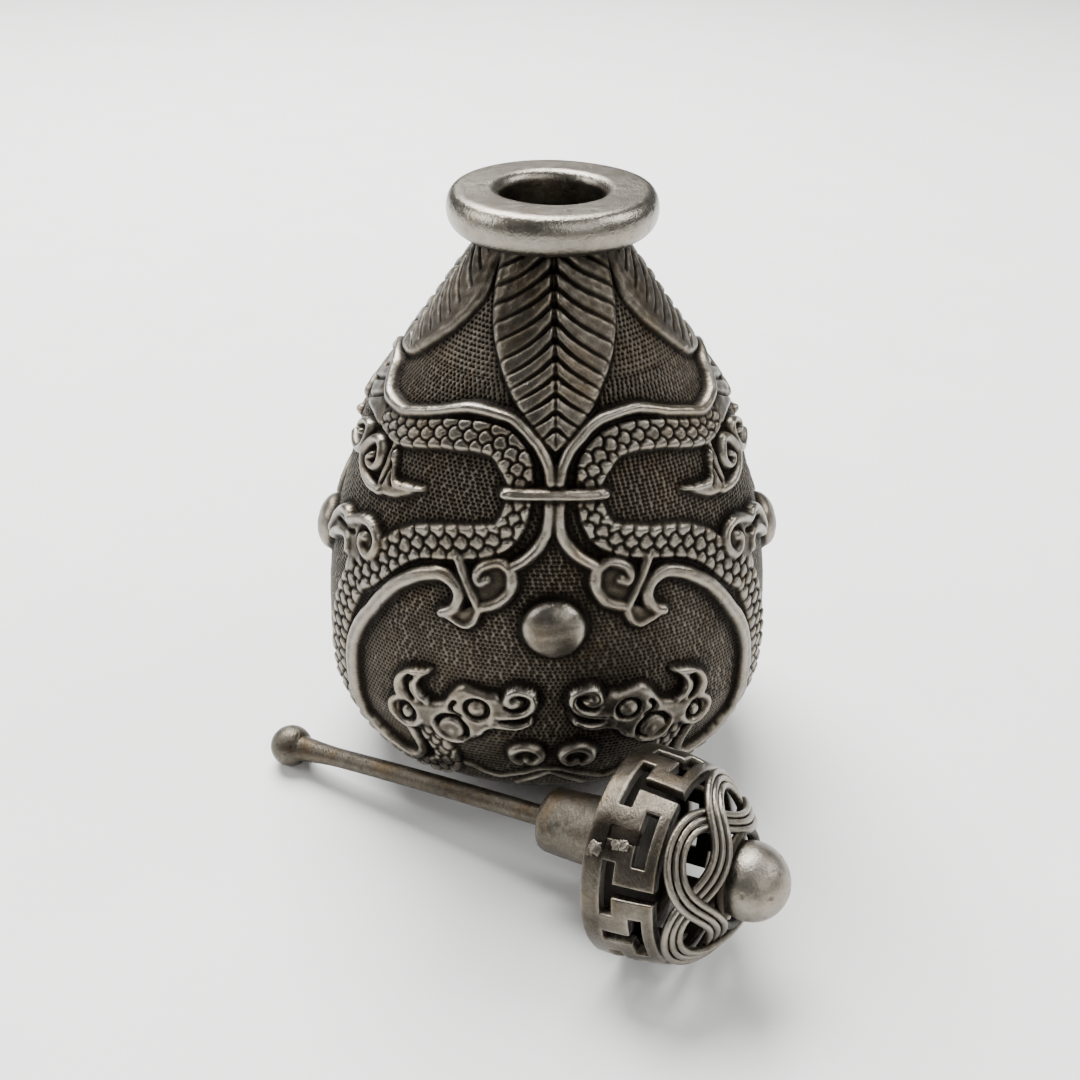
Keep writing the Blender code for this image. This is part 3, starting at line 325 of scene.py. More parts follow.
def smooth_curve(points, step=0.35, closed=False):
    """A Catmull-Rom curve through drawing points, cut into even steps on the bottle."""
    p = np.array(points, float)
    if closed:
        p = np.vstack([p[-1], p, p[0], p[1]])
    else:
        p = np.vstack([2 * p[0] - p[1], p, 2 * p[-1] - p[-2]])
    t = np.linspace(0.0, 1.0, 10, endpoint=False)[None, :, None]
    a, b, c, d = p[:-3, None], p[1:-2, None], p[2:-1, None], p[3:, None]
    fine = 0.5 * (2 * b + (c - a) * t + (2 * a - 5 * b + 4 * c - d) * t ** 2
                  + (3 * b - a - 3 * c + d) * t ** 3)
    fine = np.vstack([fine.reshape(-1, 2), p[-2][None]])
    run = lengths_on_bottle(fine)[2]
    places = np.linspace(0.0, run[-1], max(3, int(round(run[-1] / step)) + 1))
    return pairs(*(np.interp(places, run, fine[:, k]) for k in (0, 1)))


class Carving:
    """The height of the relief at many points of the drawing, and how far off its edge is.

    Shapes are laid on in order. A raised shape takes the greater of the two heights, and a cut
    is taken from what lies there already.
    """

    # How far beyond a shape its edge is still noted
    NOTED = 2.5
    SCALE_ROWS = 3
    SCALE_BASE = 0.22
    SCALE_HEIGHT = 0.62

    def __init__(self, across, level):
        self.across = across
        self.level = level
        self.scale = degree_units(across, level)
        self.height = np.zeros(across.shape)
        self.gap = np.full(across.shape, 9.0)

    def nearest(self, curve, reach):
        """The points within reach of a curve: distance, length along the curve, and side."""
        gap = np.full(self.across.shape, np.inf)
        along = np.zeros(self.across.shape)
        side = np.zeros(self.across.shape)
        scale, steps, run = lengths_on_bottle(curve)
        batch = 10
        for first in range(0, len(curve) - 1, batch):
            part = curve[first:first + batch + 1]
            spread = reach / scale[first:first + batch + 1].min()
            hit = np.flatnonzero((self.across > part[:, 0].min() - spread)
                                 & (self.across < part[:, 0].max() + spread)
                                 & (self.level > part[:, 1].min() - reach)
                                 & (self.level < part[:, 1].max() + reach))
            if not hit.size:
                continue
            k = self.scale[hit][:, None]
            ax = (part[None, :-1, 0] - self.across[hit][:, None]) * k
            ay = part[None, :-1, 1] - self.level[hit][:, None]
            dx = np.diff(part[:, 0])[None] * k
            dy = np.diff(part[:, 1])[None] + 0.0 * k
            t = np.clip(-(ax * dx + ay * dy) / np.maximum(dx * dx + dy * dy, 1e-12), 0.0, 1.0)
            far = np.hypot(ax + t * dx, ay + t * dy)
            best = far.argmin(axis=1)
            rows = np.arange(len(hit))
            far = far[rows, best]
            closer = far < gap[hit]
            where = hit[closer]
            rows, best = rows[closer], best[closer]
            gap[where] = far[closer]
            along[where] = run[first + best] + t[rows, best] * steps[first + best]
            side[where] = np.sign(dy[rows, best] * ax[rows, best] - dx[rows, best] * ay[rows, best])
        hit = np.flatnonzero(gap < reach)
        return hit, gap[hit], along[hit], side[hit], run[-1]

    def raise_to(self, hit, inner, height, gap):
        """Lay a raised shape on where inner says so, and note how far off its edge is."""
        self.height[hit] = np.maximum(self.height[hit], np.where(inner, height, 0.0))
        self.gap[hit] = np.minimum(self.gap[hit], gap)

    def stroke(self, points, width, reach=NOTED):
        """The points near a drawn line, with their distance, half the width there, and more.

        The width is one number, or pairs of (share of the length, width).
        """
        places, values = zip(*(((0.0, width),) if np.isscalar(width) else width))
        curve = smooth_curve(points)
        hit, gap, along, side, total = self.nearest(curve, max(values) / 2.0 + reach)
        return hit, gap, np.interp(along / total, places, values) / 2.0, along, side, total

    def cord(self, points, width, height, base=0.0, power=0.55):
        """A rounded cord: height times (1 - q squared) to a power, q the share of half the width."""
        hit, gap, half = self.stroke(points, width)[:3]
        q = np.clip(gap / half, 0.0, 1.0)
        self.raise_to(hit, q < 1.0, base + height * (1.0 - q * q) ** power, gap - half)

    def bar(self, points, width, height, edge, crown=0.08):
        """A flat-topped bar: quarter-round edges and a slight crown across it."""
        hit, gap, half = self.stroke(points, width)[:3]
        q = np.clip(gap / half, 0.0, 1.0)
        rise = height * dome((half - gap) / edge) + crown * (1.0 - q * q)
        self.raise_to(hit, q < 1.0, rise, gap - half)

    def within(self, hit, outline):
        """Which of the points lie in a closed outline, by counting crossings."""
        x, y = self.across[hit], self.level[hit]
        odd = np.zeros(len(hit), bool)
        for (x0, y0), (x1, y1) in zip(outline, np.roll(outline, -1, axis=0)):
            if y0 != y1:
                odd ^= ((y0 > y) != (y1 > y)) & (x < x0 + (y - y0) * (x1 - x0) / (y1 - y0))
        return odd

    def inside(self, points, reach):
        """The points in or near a closed outline, their distance to it, and which are in it."""
        outline = smooth_curve(points, closed=True)
        hit, gap, _, _, _ = self.nearest(outline, reach)
        return hit, gap, self.within(hit, outline)

    def plate(self, points, height, edge=0.5, reach=4.0):
        """A raised shape with quarter-round edges."""
        hit, gap, inner = self.inside(points, reach)
        self.raise_to(hit, inner, height * dome(gap / edge), np.where(inner, 0.0, gap))

    def sink(self, points, depth, edge=0.25, reach=3.0):
        """A sunk shape with sloping sides, which never goes below the ground."""
        hit, gap, inner = self.inside(points, reach)
        cut = np.where(inner, depth * smooth(gap / edge), 0.0)
        self.height[hit] = np.maximum(self.height[hit] - cut, np.minimum(self.height[hit], 0.0))

    def groove(self, points, width, depth, taper=0.0):
        """A round-bottomed cut; taper is the share of width and depth lost along it."""
        hit, gap, half, along, _, total = self.stroke(points, width, 0.3)
        left = 1.0 - taper * along / total
        q = np.clip(gap / (half * left), 0.0, 1.0)
        cut = depth * left * (1.0 - smooth(q))
        self.height[hit] = np.where(self.height[hit] > 0.0,
                                    np.maximum(self.height[hit] - cut, 0.0), self.height[hit])

    def distance(self, centre, reach):
        """The points near a place, and their distance to it."""
        gap = np.hypot((self.across - centre[0]) * self.scale, self.level - centre[1])
        hit = np.flatnonzero(gap < reach)
        return hit, gap[hit]

    def ball(self, centre, radius, height, power=0.5):
        """A dome: height times (1 - q squared) to a power."""
        hit, gap = self.distance(centre, radius + self.NOTED)
        q = np.clip(gap / radius, 0.0, 1.0)
        self.raise_to(hit, q < 1.0, height * (1.0 - q * q) ** power, gap - radius)

    def moat(self, centre, radius, width, depth):
        """A ring-shaped cut round a place."""
        hit, gap = self.distance(centre, radius + width)
        cut = depth * (1.0 - smooth(np.abs(gap - radius) / (width / 2.0)))
        self.height[hit] = np.maximum(self.height[hit] - cut, 0.0)

    def scales(self, points, width, pitch, toward):
        """Overlapping scales in staggered rows along a band.

        Each scale is an ellipse with a short round free end and a long back. Where scales
        overlap, the one that lies furthest back against the free end is on top, and a dark
        gap parts it from those below.
        """
        hit, gap, half, along, side, _ = self.stroke(points, width)
        full = max(w for _, w in width) / 2.0
        t = side * gap / half * full
        u = along * toward
        spacing = 2.0 * full / self.SCALE_ROWS
        tops, places, tilts = [], [], []
        for row in range(self.SCALE_ROWS):
            middle = (row - (self.SCALE_ROWS - 1) / 2.0) * spacing
            shift = pitch * 0.5 * (row % 2)
            nearest = np.floor((u - shift) / pitch)
            for step in (-1.0, 0.0, 1.0, 2.0):
                number = nearest - step
                luck = chance(number, row)
                centre = shift + (number + 0.5) * pitch + (luck - 0.5) * 0.16
                ahead = u - centre
                long_radius = np.where(ahead > 0.0, pitch * 0.46, pitch * 1.15)
                wide_radius = spacing * (0.68 + 0.05 * luck)
                drift = (t - middle - (luck - 0.5) * 0.12) / wide_radius
                tops.append(np.hypot(ahead / long_radius, drift))
                places.append(centre)
                tilts.append(np.clip(0.80 + 0.30 * ahead / pitch, 0.45, 1.0))
        best = np.zeros(len(hit))
        for q, place, tilt in zip(tops, places, tilts):
            shape = smooth((1.0 - q) / 0.22) * tilt * (1.0 - 0.10 * np.clip(q, 0.0, 1.0) ** 2)
            for other, where in zip(tops, places):
                above = (where < place - 1e-6) & (where > place - 1.6 * pitch)
                shape = np.where(above, shape * smooth((other - 1.0) / 0.20), shape)
            best = np.maximum(best, shape)
        rise = (self.SCALE_BASE + self.SCALE_HEIGHT * best) * dome((half - gap) / 0.6)
        self.raise_to(hit, gap < half, rise, gap - half)

    def leaf(self, halves, middle, height, tip, veins):
        """A leaf hanging from the collar, with a midrib cut and curved veins cut on both sides."""
        levels, spread = np.array(halves).T
        outline = np.vstack([pairs(middle - spread, levels), pairs(middle + spread, levels)[::-1]])
        self.plate(outline, height, 0.8, 12.0)
        reach, first, spacing, drop, growth = veins
        top = levels[-1]
        midrib = pairs(middle, np.array((top, (tip + top) / 2.0, tip + 0.8)))
        self.groove(midrib, 1.15, 0.6, 0.6)
        for side in (-1.0, 1.0):
            for number in range(int((top + 4.0 - first) / spacing)):
                start = first + spacing * number
                fall = min(drop + growth * number, 4.3)
                end = np.interp(start - fall, levels, spread) * reach
                run = np.linspace(0.0, 1.0, 5)
                vein = pairs(middle + side * (0.8 + (end - 0.8) * run), start - fall * run ** 0.9)
                self.groove(vein, 0.8, 0.5, 0.45)


def carve(across, level):
    """Lay the whole drawing on points of one folded quarter."""
    work = Carving(across, level)
    work.leaf(SIDE_LEAF, 90.0, 0.75, 59.8, (0.74, 63.2, 1.9, 1.8, 0.5))
    work.leaf(FRONT_LEAF, 0.0, 0.85, 54.9, (0.95, 57.4, 1.80, 1.2, 0.55))
    work.plate(TAIL_PLATE, 0.62)
    for stripe in TAIL_STRIPES:
        work.groove(stripe, 0.75, 0.5)
    work.scales(UPPER_ARM, ((0.0, 2.8), (0.12, 3.6), (0.8, 3.6), (1.0, 2.8)), 1.62, 1.0)
    work.scales(LOWER_ARM, ((0.0, 2.8), (0.1, 3.8), (0.4, 4.1), (0.5, 4.4), (0.75, 4.4),
                            (0.86, 3.6), (1.0, 3.0)), 1.70, -1.0)
    work.cord(UPPER_CORD, 1.5, 1.05)
    work.cord(LOWER_CORD, 1.45, 1.0)
    work.bar(BODY_RIM, ((0.0, 1.5), (0.15, 1.8), (0.37, 1.9), (0.55, 2.2), (0.65, 1.8),
                        (0.82, 1.3), (1.0, 1.1)), 0.95, edge=0.6)
    work.plate(HOOK, 0.62, 0.5)
    work.cord(HOOK_EDGE, 0.9, 0.5, base=0.4)
    work.plate(FRONT_DISC, 0.55, 0.5)
    work.cord(LOWER_CORD[6:], 1.55, 1.0)
    work.cord(FRONT_CURL, ((0.0, 1.5), (0.6, 1.45), (1.0, 1.5)), 1.0)
    work.cord(STEM, 1.4, 0.95)
    work.plate(HIND_CLAW, 0.75, 0.7)
    work.cord(CLAW_EDGE, ((0.0, 0.5), (0.3, 0.8), (1.0, 0.8)), 0.32, base=0.6)
    for stem in CLAW_STEMS:
        work.groove(stem, 0.65, 0.6)
    work.cord(SIDE_CURL, ((0.0, 1.5), (0.5, 1.5), (1.0, 1.1)), 1.05)
    work.cord(TAIL_CURL, ((0.0, 1.4), (0.6, 1.3), (1.0, 1.0)), 1.0)
    work.plate(FLAME, 0.62, 0.7)
    for cut in FLAME_CUTS:
        work.groove(cut, 0.7, 0.55)
    work.cord(FLAME_EDGE, 1.25, 0.55, base=0.5)
    work.cord(FLAME_LOBE, 1.15, 0.45, base=0.5)
    work.plate(FOOT_DISC, 0.35, 0.6)
    work.cord(FOOT_CURL, ((0.0, 1.0), (0.35, 1.4), (0.7, 1.2), (1.0, 1.0)), 0.95)
    work.cord(ARC_LOW, 0.65, 0.42)
    work.cord(ARC_FOOT, 0.55, 0.36)
    work.plate(HEAD, 0.92, 1.0)
    work.plate(EAR, 0.85, 0.6)
    work.sink(MOUTH, 0.95)
    work.cord(LIP_LINE, 0.75, 0.2, base=0.85)
    work.cord(JAW_LINE, 0.6, 0.16, base=0.82)
    work.cord(EAR_EDGE, ((0.0, 0.4), (0.4, 1.0), (1.0, 1.0)), 0.35, base=0.75)
    work.cord(EAR_INNER, ((0.0, 0.4), (0.5, 0.7), (1.0, 0.7)), 0.30, base=0.72)
    work.groove(EAR_SLOT, 0.95, 0.95)
    work.groove(BROW, 0.6, 0.85)
    work.moat(EYE, 1.22, 0.55, 0.85)
    work.ball(EYE, 0.98, 1.2)
    work.groove(CHEEK, 0.8, 0.85)
    work.cord(CHEEK_ARM, 0.8, 0.35, base=0.75)
    work.ball(CHEEK_MIDDLE, 0.95, 1.05, power=0.4)
    work.groove(NOSE_HOLE, 0.8, 0.75)
    work.cord(NOSE, ((0.0, 0.7), (0.4, 0.95), (0.85, 0.95), (1.0, 1.2)), 0.35, base=0.85)
    work.ball((36.2, 22.6), 1.75, 0.85, power=0.3)
    work.moat(EAR_MIDDLE, 0.95, 0.75, 0.8)
    work.ball((35.7, 22.4), 0.68, 1.05, power=0.4)
    work.cord(EAR_CURL, ((0.0, 0.8), (0.4, 0.9), (1.0, 0.7)), 0.35, base=0.75)
    work.ball((0.0, BOSS_LEVEL), 3.4, 2.05, power=0.45)
    work.ball((90.0, BOSS_LEVEL), 3.4, 2.0, power=0.45)
    work.bar(CLASP, 1.5, 1.4, edge=0.7, crown=0.0)
    work.groove(CLASP_LINE, 0.7, 0.16)
    return work


def blurred(field, reach):
    """The mean over a box, twice: columns wrap round the bottle, and the end rows repeat."""
    size = 2 * reach + 1
    for _ in range(2):
        for axis, mode in ((1, "wrap"), (0, "edge")):
            margins = [(0, 0), (0, 0)]
            margins[axis] = (reach, reach)
            total = np.cumsum(np.pad(field, margins, mode=mode), axis=axis)
            margins[axis] = (1, 0)
            total = np.moveaxis(np.pad(total, margins), axis, 0)
            field = np.moveaxis((total[size:] - total[:-size]) / size, 0, axis)
    return field


def new_piece(name, points, groups, material, node, patina_and_painted_light, flat=()):
    """A mesh piece from arrays: points in metres and groups of triangles or quads.

    The groups whose numbers are in flat are shaded flat. The tone is one number a point:
    dirt and wear, with painted shade and highlights on some pieces.
    """
    mesh = bpy.data.meshes.new(name)
    corners = np.concatenate([g.ravel() for g in groups])
    counts = np.concatenate([np.full(len(g), g.shape[1]) for g in groups])
    mesh.vertices.add(len(points))
    mesh.vertices.foreach_set("co", np.asarray(points, np.float32).ravel())
    mesh.loops.add(len(corners))
    mesh.loops.foreach_set("vertex_index", corners.astype(np.int32))
    mesh.polygons.add(len(counts))
    starts = np.concatenate(([0], np.cumsum(counts)[:-1])).astype(np.int32)
    mesh.polygons.foreach_set("loop_start", starts)
    rounded = np.concatenate([np.full(len(g), i not in flat) for i, g in enumerate(groups)])
    mesh.polygons.foreach_set("use_smooth", rounded)
    layer = mesh.attributes.new("patina_and_painted_light", "FLOAT", "POINT")
    layer.data.foreach_set("value", np.asarray(patina_and_painted_light, np.float32))
    mesh.update(calc_edges=True)
    if mesh.validate():
        raise RuntimeError(f"{name} has broken faces")
    mesh.materials.append(material)
    piece = bpy.data.objects.new(name, mesh)
    bpy.context.scene.collection.objects.link(piece)
    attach(piece, "root")
    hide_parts(node)


def grid_quads(rows, columns, first=0, wrap=False):
    """Quads of a grid of points that runs along its rows; outward is along, then up."""
    across = columns if wrap else columns - 1
    i, j = np.meshgrid(np.arange(rows - 1), np.arange(across), indexing="ij")
    k = (j + 1) % columns
    quads = np.stack([i * columns + j, i * columns + k, (i + 1) * columns + k,
                      (i + 1) * columns + j], axis=-1)
    return quads.reshape(-1, 4) + first


def loop_quads(rows, columns, first=0):
    """Quads of a grid that closes both along its rows and from its last row to its first."""
    start = first + np.arange(columns)
    last = start + (rows - 1) * columns
    close = np.stack([last, np.roll(last, -1), np.roll(start, -1), start], axis=1)
    return np.concatenate((grid_quads(rows, columns, first, wrap=True), close))


def fan(pole, ring, upward, wrap=True):
    """Triangles from a pole to a ring of points; upward turns them to face up."""
    after = np.roll(ring, -1) if wrap else ring[1:]
    ring = ring if wrap else ring[:-1]
    pair = (ring, after) if upward else (after, ring)
    return np.stack([np.full(len(ring), pole), pair[0], pair[1]], axis=1)


def lace(first, first_at, second, second_at):
    """Triangles between two rows of points that meet in the order of their places.

    Seen with the first row below and both running to the right, the faces look at the viewer.
    """
    middle = (first_at[:-1] + first_at[1:]) / 2.0
    other = (second_at[:-1] + second_at[1:]) / 2.0
    at_second = np.searchsorted(other, middle, side="left")
    at_first = np.searchsorted(middle, other, side="right")
    low = np.stack([first[:-1], first[1:], second[at_second]], axis=1)
    high = np.stack([second[1:], second[:-1], first[at_first]], axis=1)
    return np.concatenate((low, high))


def add_node(tree, kind, inputs):
    """Add a node and feed its inputs, by name or number."""
    return feed(tree, tree.nodes.new(f"ShaderNode{kind}"), inputs)


def feed(tree, node, inputs):
    """Set a node's inputs: a socket is linked, and anything else is the input's own value."""
    for key, value in inputs.items():
        if isinstance(value, bpy.types.NodeSocket):
            tree.links.new(value, node.inputs[key])
        else:
            node.inputs[key].default_value = value
    return node


def shader_tree(name):
    """A new material, its node tree and its shader."""
    material = bpy.data.materials.new(name)
    material.use_nodes = True
    return material, material.node_tree, material.node_tree.nodes["Principled BSDF"]


def colour_ramp(tree, factor, stops):
    """A ramp of (place, colour) stops."""
    node = add_node(tree, "ValToRGB", {"Fac": factor})
    elements = node.color_ramp.elements
    while len(elements) < len(stops):
        elements.new(0.5)
    for element, (position, colour) in zip(elements, stops):
        element.position = position
        element.color = (*colour, 1.0)
    return node.outputs["Color"]


def finish_metal(name, lift=0.0, roughness=(0.27, 0.62), warmth=0.6, grain=0.12, scratch=1.2):
    """Antiqued cast metal: dark in its hollows, bright where fingers have worn it.

    The point attribute picks the colour from dark to bright, after coarse stains, fine
    blotches and scratches have moved it a little. It holds each piece's dirt and wear and, on some
    pieces, painted shade and painted highlights. Lift moves the colours towards bright, and
    warmth is the strength of brown stains.
    """
    look = bpy.context.scene.bottle_colours
    material, tree, shader = shader_tree(name)
    place = tree.nodes.new("ShaderNodeTexCoord").outputs["Object"]

    def noise(scale, detail, rough, distortion=0.0):
        """Blotches in space that are finer the larger the scale is."""
        return add_node(tree, "TexNoise", {
            "Vector": place, "Scale": scale, "Detail": detail, "Roughness": rough,
            "Distortion": distortion}).outputs["Fac"]

    def moved(factor, amount, start, clamp=False):
        """Factor times amount, added to a start."""
        node = add_node(tree, "Math", {0: factor, 1: amount, 2: start})
        node.operation = "MULTIPLY_ADD"
        node.use_clamp = clamp
        return node.outputs[0]

    def plus(first, second):
        """A sum."""
        return add_node(tree, "Math", {0: first, 1: second}).outputs[0]

    stains = noise(170.0, 3.0, 0.6, 0.6)
    blotches = noise(900.0, 4.0, 0.65)
    fine = noise(3600.0, 3.0, 0.7)
    reader = tree.nodes.new("ShaderNodeAttribute")
    reader.attribute_name = "patina_and_painted_light"
    wear_and_painted_light = moved(stains, 0.30, plus(reader.outputs["Fac"], -0.15))
    wear_and_painted_light = moved(blotches, 0.36, plus(wear_and_painted_light, -0.18))
    wear_and_painted_light = moved(fine, grain, plus(wear_and_painted_light, -0.5 * grain), clamp=True)
    colour = colour_ramp(tree, wear_and_painted_light, (
        (0.06, look.hollow), (0.36 - lift, look.shade), (0.62 - lift, look.middle),
        (0.97 - lift, look.bright)))
    brown = colour_ramp(tree, noise(260.0, 3.0, 0.6, 0.4), (
        (0.50, (1.0, 1.0, 1.0)), (0.72, (1.0, 1.0 - 0.14 * warmth, 1.0 - 0.32 * warmth))))
    mix = tree.nodes.new("ShaderNodeMix")
    mix.data_type = "RGBA"
    mix.blend_type = "MULTIPLY"
    feed(tree, mix, {"Factor": 1.0, "A": colour, "B": brown})
    low, high = roughness
    rough = plus(moved(wear_and_painted_light, low - high, high), -0.08)
    streak_place = add_node(tree, "Mapping", {
        "Vector": place, "Scale": (5200.0, 900.0, 2600.0), "Rotation": (0.4, 0.7, 0.5)})
    streaks = add_node(tree, "TexNoise", {
        "Vector": streak_place.outputs["Vector"], "Scale": 1.0, "Detail": 2.0})
    relief = moved(blotches, 1.6, moved(streaks.outputs["Fac"], scratch, fine))
    bump = add_node(tree, "Bump", {"Strength": 0.55, "Distance": 0.00006, "Height": relief})
    feed(tree, shader, {
        "Metallic": 1.0, "Base Color": mix.outputs["Result"],
        "Roughness": moved(blotches, 0.16, rough, clamp=True), "Normal": bump.outputs["Normal"]})
    return material


# How much of the patina a metre of pit depth takes, on worn and on dull metal
WORN_PIT_DIRT = 2600.0
DULL_PIT_DIRT = 2000.0


def pitted(points, count, radius, depth, seed):
    """How deep small round pits cut at points: the deepest of many shallow bowls at random places."""
    draw = np.random.default_rng(seed)
    centres = points[draw.integers(0, len(points), count)]
    sizes = radius * (0.5 + draw.random(count))
    cut = np.zeros(len(points))
    for centre, size in zip(centres, sizes):
        near = np.linalg.norm(points - centre, axis=1) / size
        cut = np.maximum(cut, depth * (size / radius) * (1.0 - smooth(near)))
    return cut


class BottleSizes(bpy.types.PropertyGroup):
    """Sizes of the bottle's own relief grid and surface."""

    columns: bpy.props.IntProperty(
        name="Columns", description="Columns of the grid over a quarter of the bottle",
        default=234, min=60)
    pit_depth: bpy.props.FloatProperty(
        name="Pit depth", description="Depth of the punched pits in the ground",
        default=0.00026, subtype="DISTANCE", unit="LENGTH")
    pit_pitch: bpy.props.FloatProperty(
        name="Pit pitch", description="Distance between punched pits along a row",
        default=0.00050, subtype="DISTANCE", unit="LENGTH")
    pit_margin: bpy.props.FloatProperty(
        name="Pit margin", description="Bare ground left beside the relief",
        default=0.00012, subtype="DISTANCE", unit="LENGTH")
    wander: bpy.props.FloatProperty(
        name="Wander", description="How far the hand-cut lines stray from the mirrored drawing",
        default=0.00005, subtype="DISTANCE", unit="LENGTH")


class StopperSizes(bpy.types.PropertyGroup):
    """Sizes of the stopper, measured from its cap's underside."""

    cap_radius: bpy.props.FloatProperty(
        name="Cap radius", description="Outer radius of the fret band at its foot",
        default=0.0105, subtype="DISTANCE", unit="LENGTH")
    cap_top_radius: bpy.props.FloatProperty(
        name="Cap top radius", description="Outer radius of the fret band at its top",
        default=0.0096, subtype="DISTANCE", unit="LENGTH")
    cap_height: bpy.props.FloatProperty(
        name="Cap height", description="Height of the fret band",
        default=0.0071, subtype="DISTANCE", unit="LENGTH")
    fret_turn: bpy.props.FloatProperty(
        name="Fret turn", description="Turn of the first standing slot about the axis",
        default=math.radians(38.7), subtype="ANGLE", unit="ROTATION")
    knot_turn: bpy.props.FloatProperty(
        name="Knot turn", description="Turn of the first eye of the knot about the axis",
        default=math.radians(58.9), subtype="ANGLE", unit="ROTATION")


class FinishColours(bpy.types.PropertyGroup):
    """Colours of the metal, from the dirt in its hollows to its worn edges; painted shade on some pieces
    takes the darker ones.
    """

    hollow: bpy.props.FloatVectorProperty(
        name="Hollow", description="Colour of the dirt in the deepest hollows", subtype="COLOR",
        default=(0.012, 0.010, 0.008))
    shade: bpy.props.FloatVectorProperty(
        name="Shade", description="Colour of the tarnished ground", subtype="COLOR",
        default=(0.036, 0.030, 0.0225))
    middle: bpy.props.FloatVectorProperty(
        name="Middle", description="Colour of the handled metal", subtype="COLOR",
        default=(0.098, 0.086, 0.069))
    bright: bpy.props.FloatVectorProperty(
        name="Bright", description="Colour of the worn edges", subtype="COLOR",
        default=(0.260, 0.237, 0.199))


class StageLook(bpy.types.PropertyGroup):
    """The floor and the light."""

    floor: bpy.props.FloatVectorProperty(
        name="Floor", description="Colour of the floor", subtype="COLOR",
        default=(0.80, 0.80, 0.785))
    key: bpy.props.FloatProperty(
        name="Key light", description="Power of the large soft light", default=22.0, unit="POWER")
    world: bpy.props.FloatProperty(
        name="Surroundings", description="Strength of the light from all round", default=0.24)


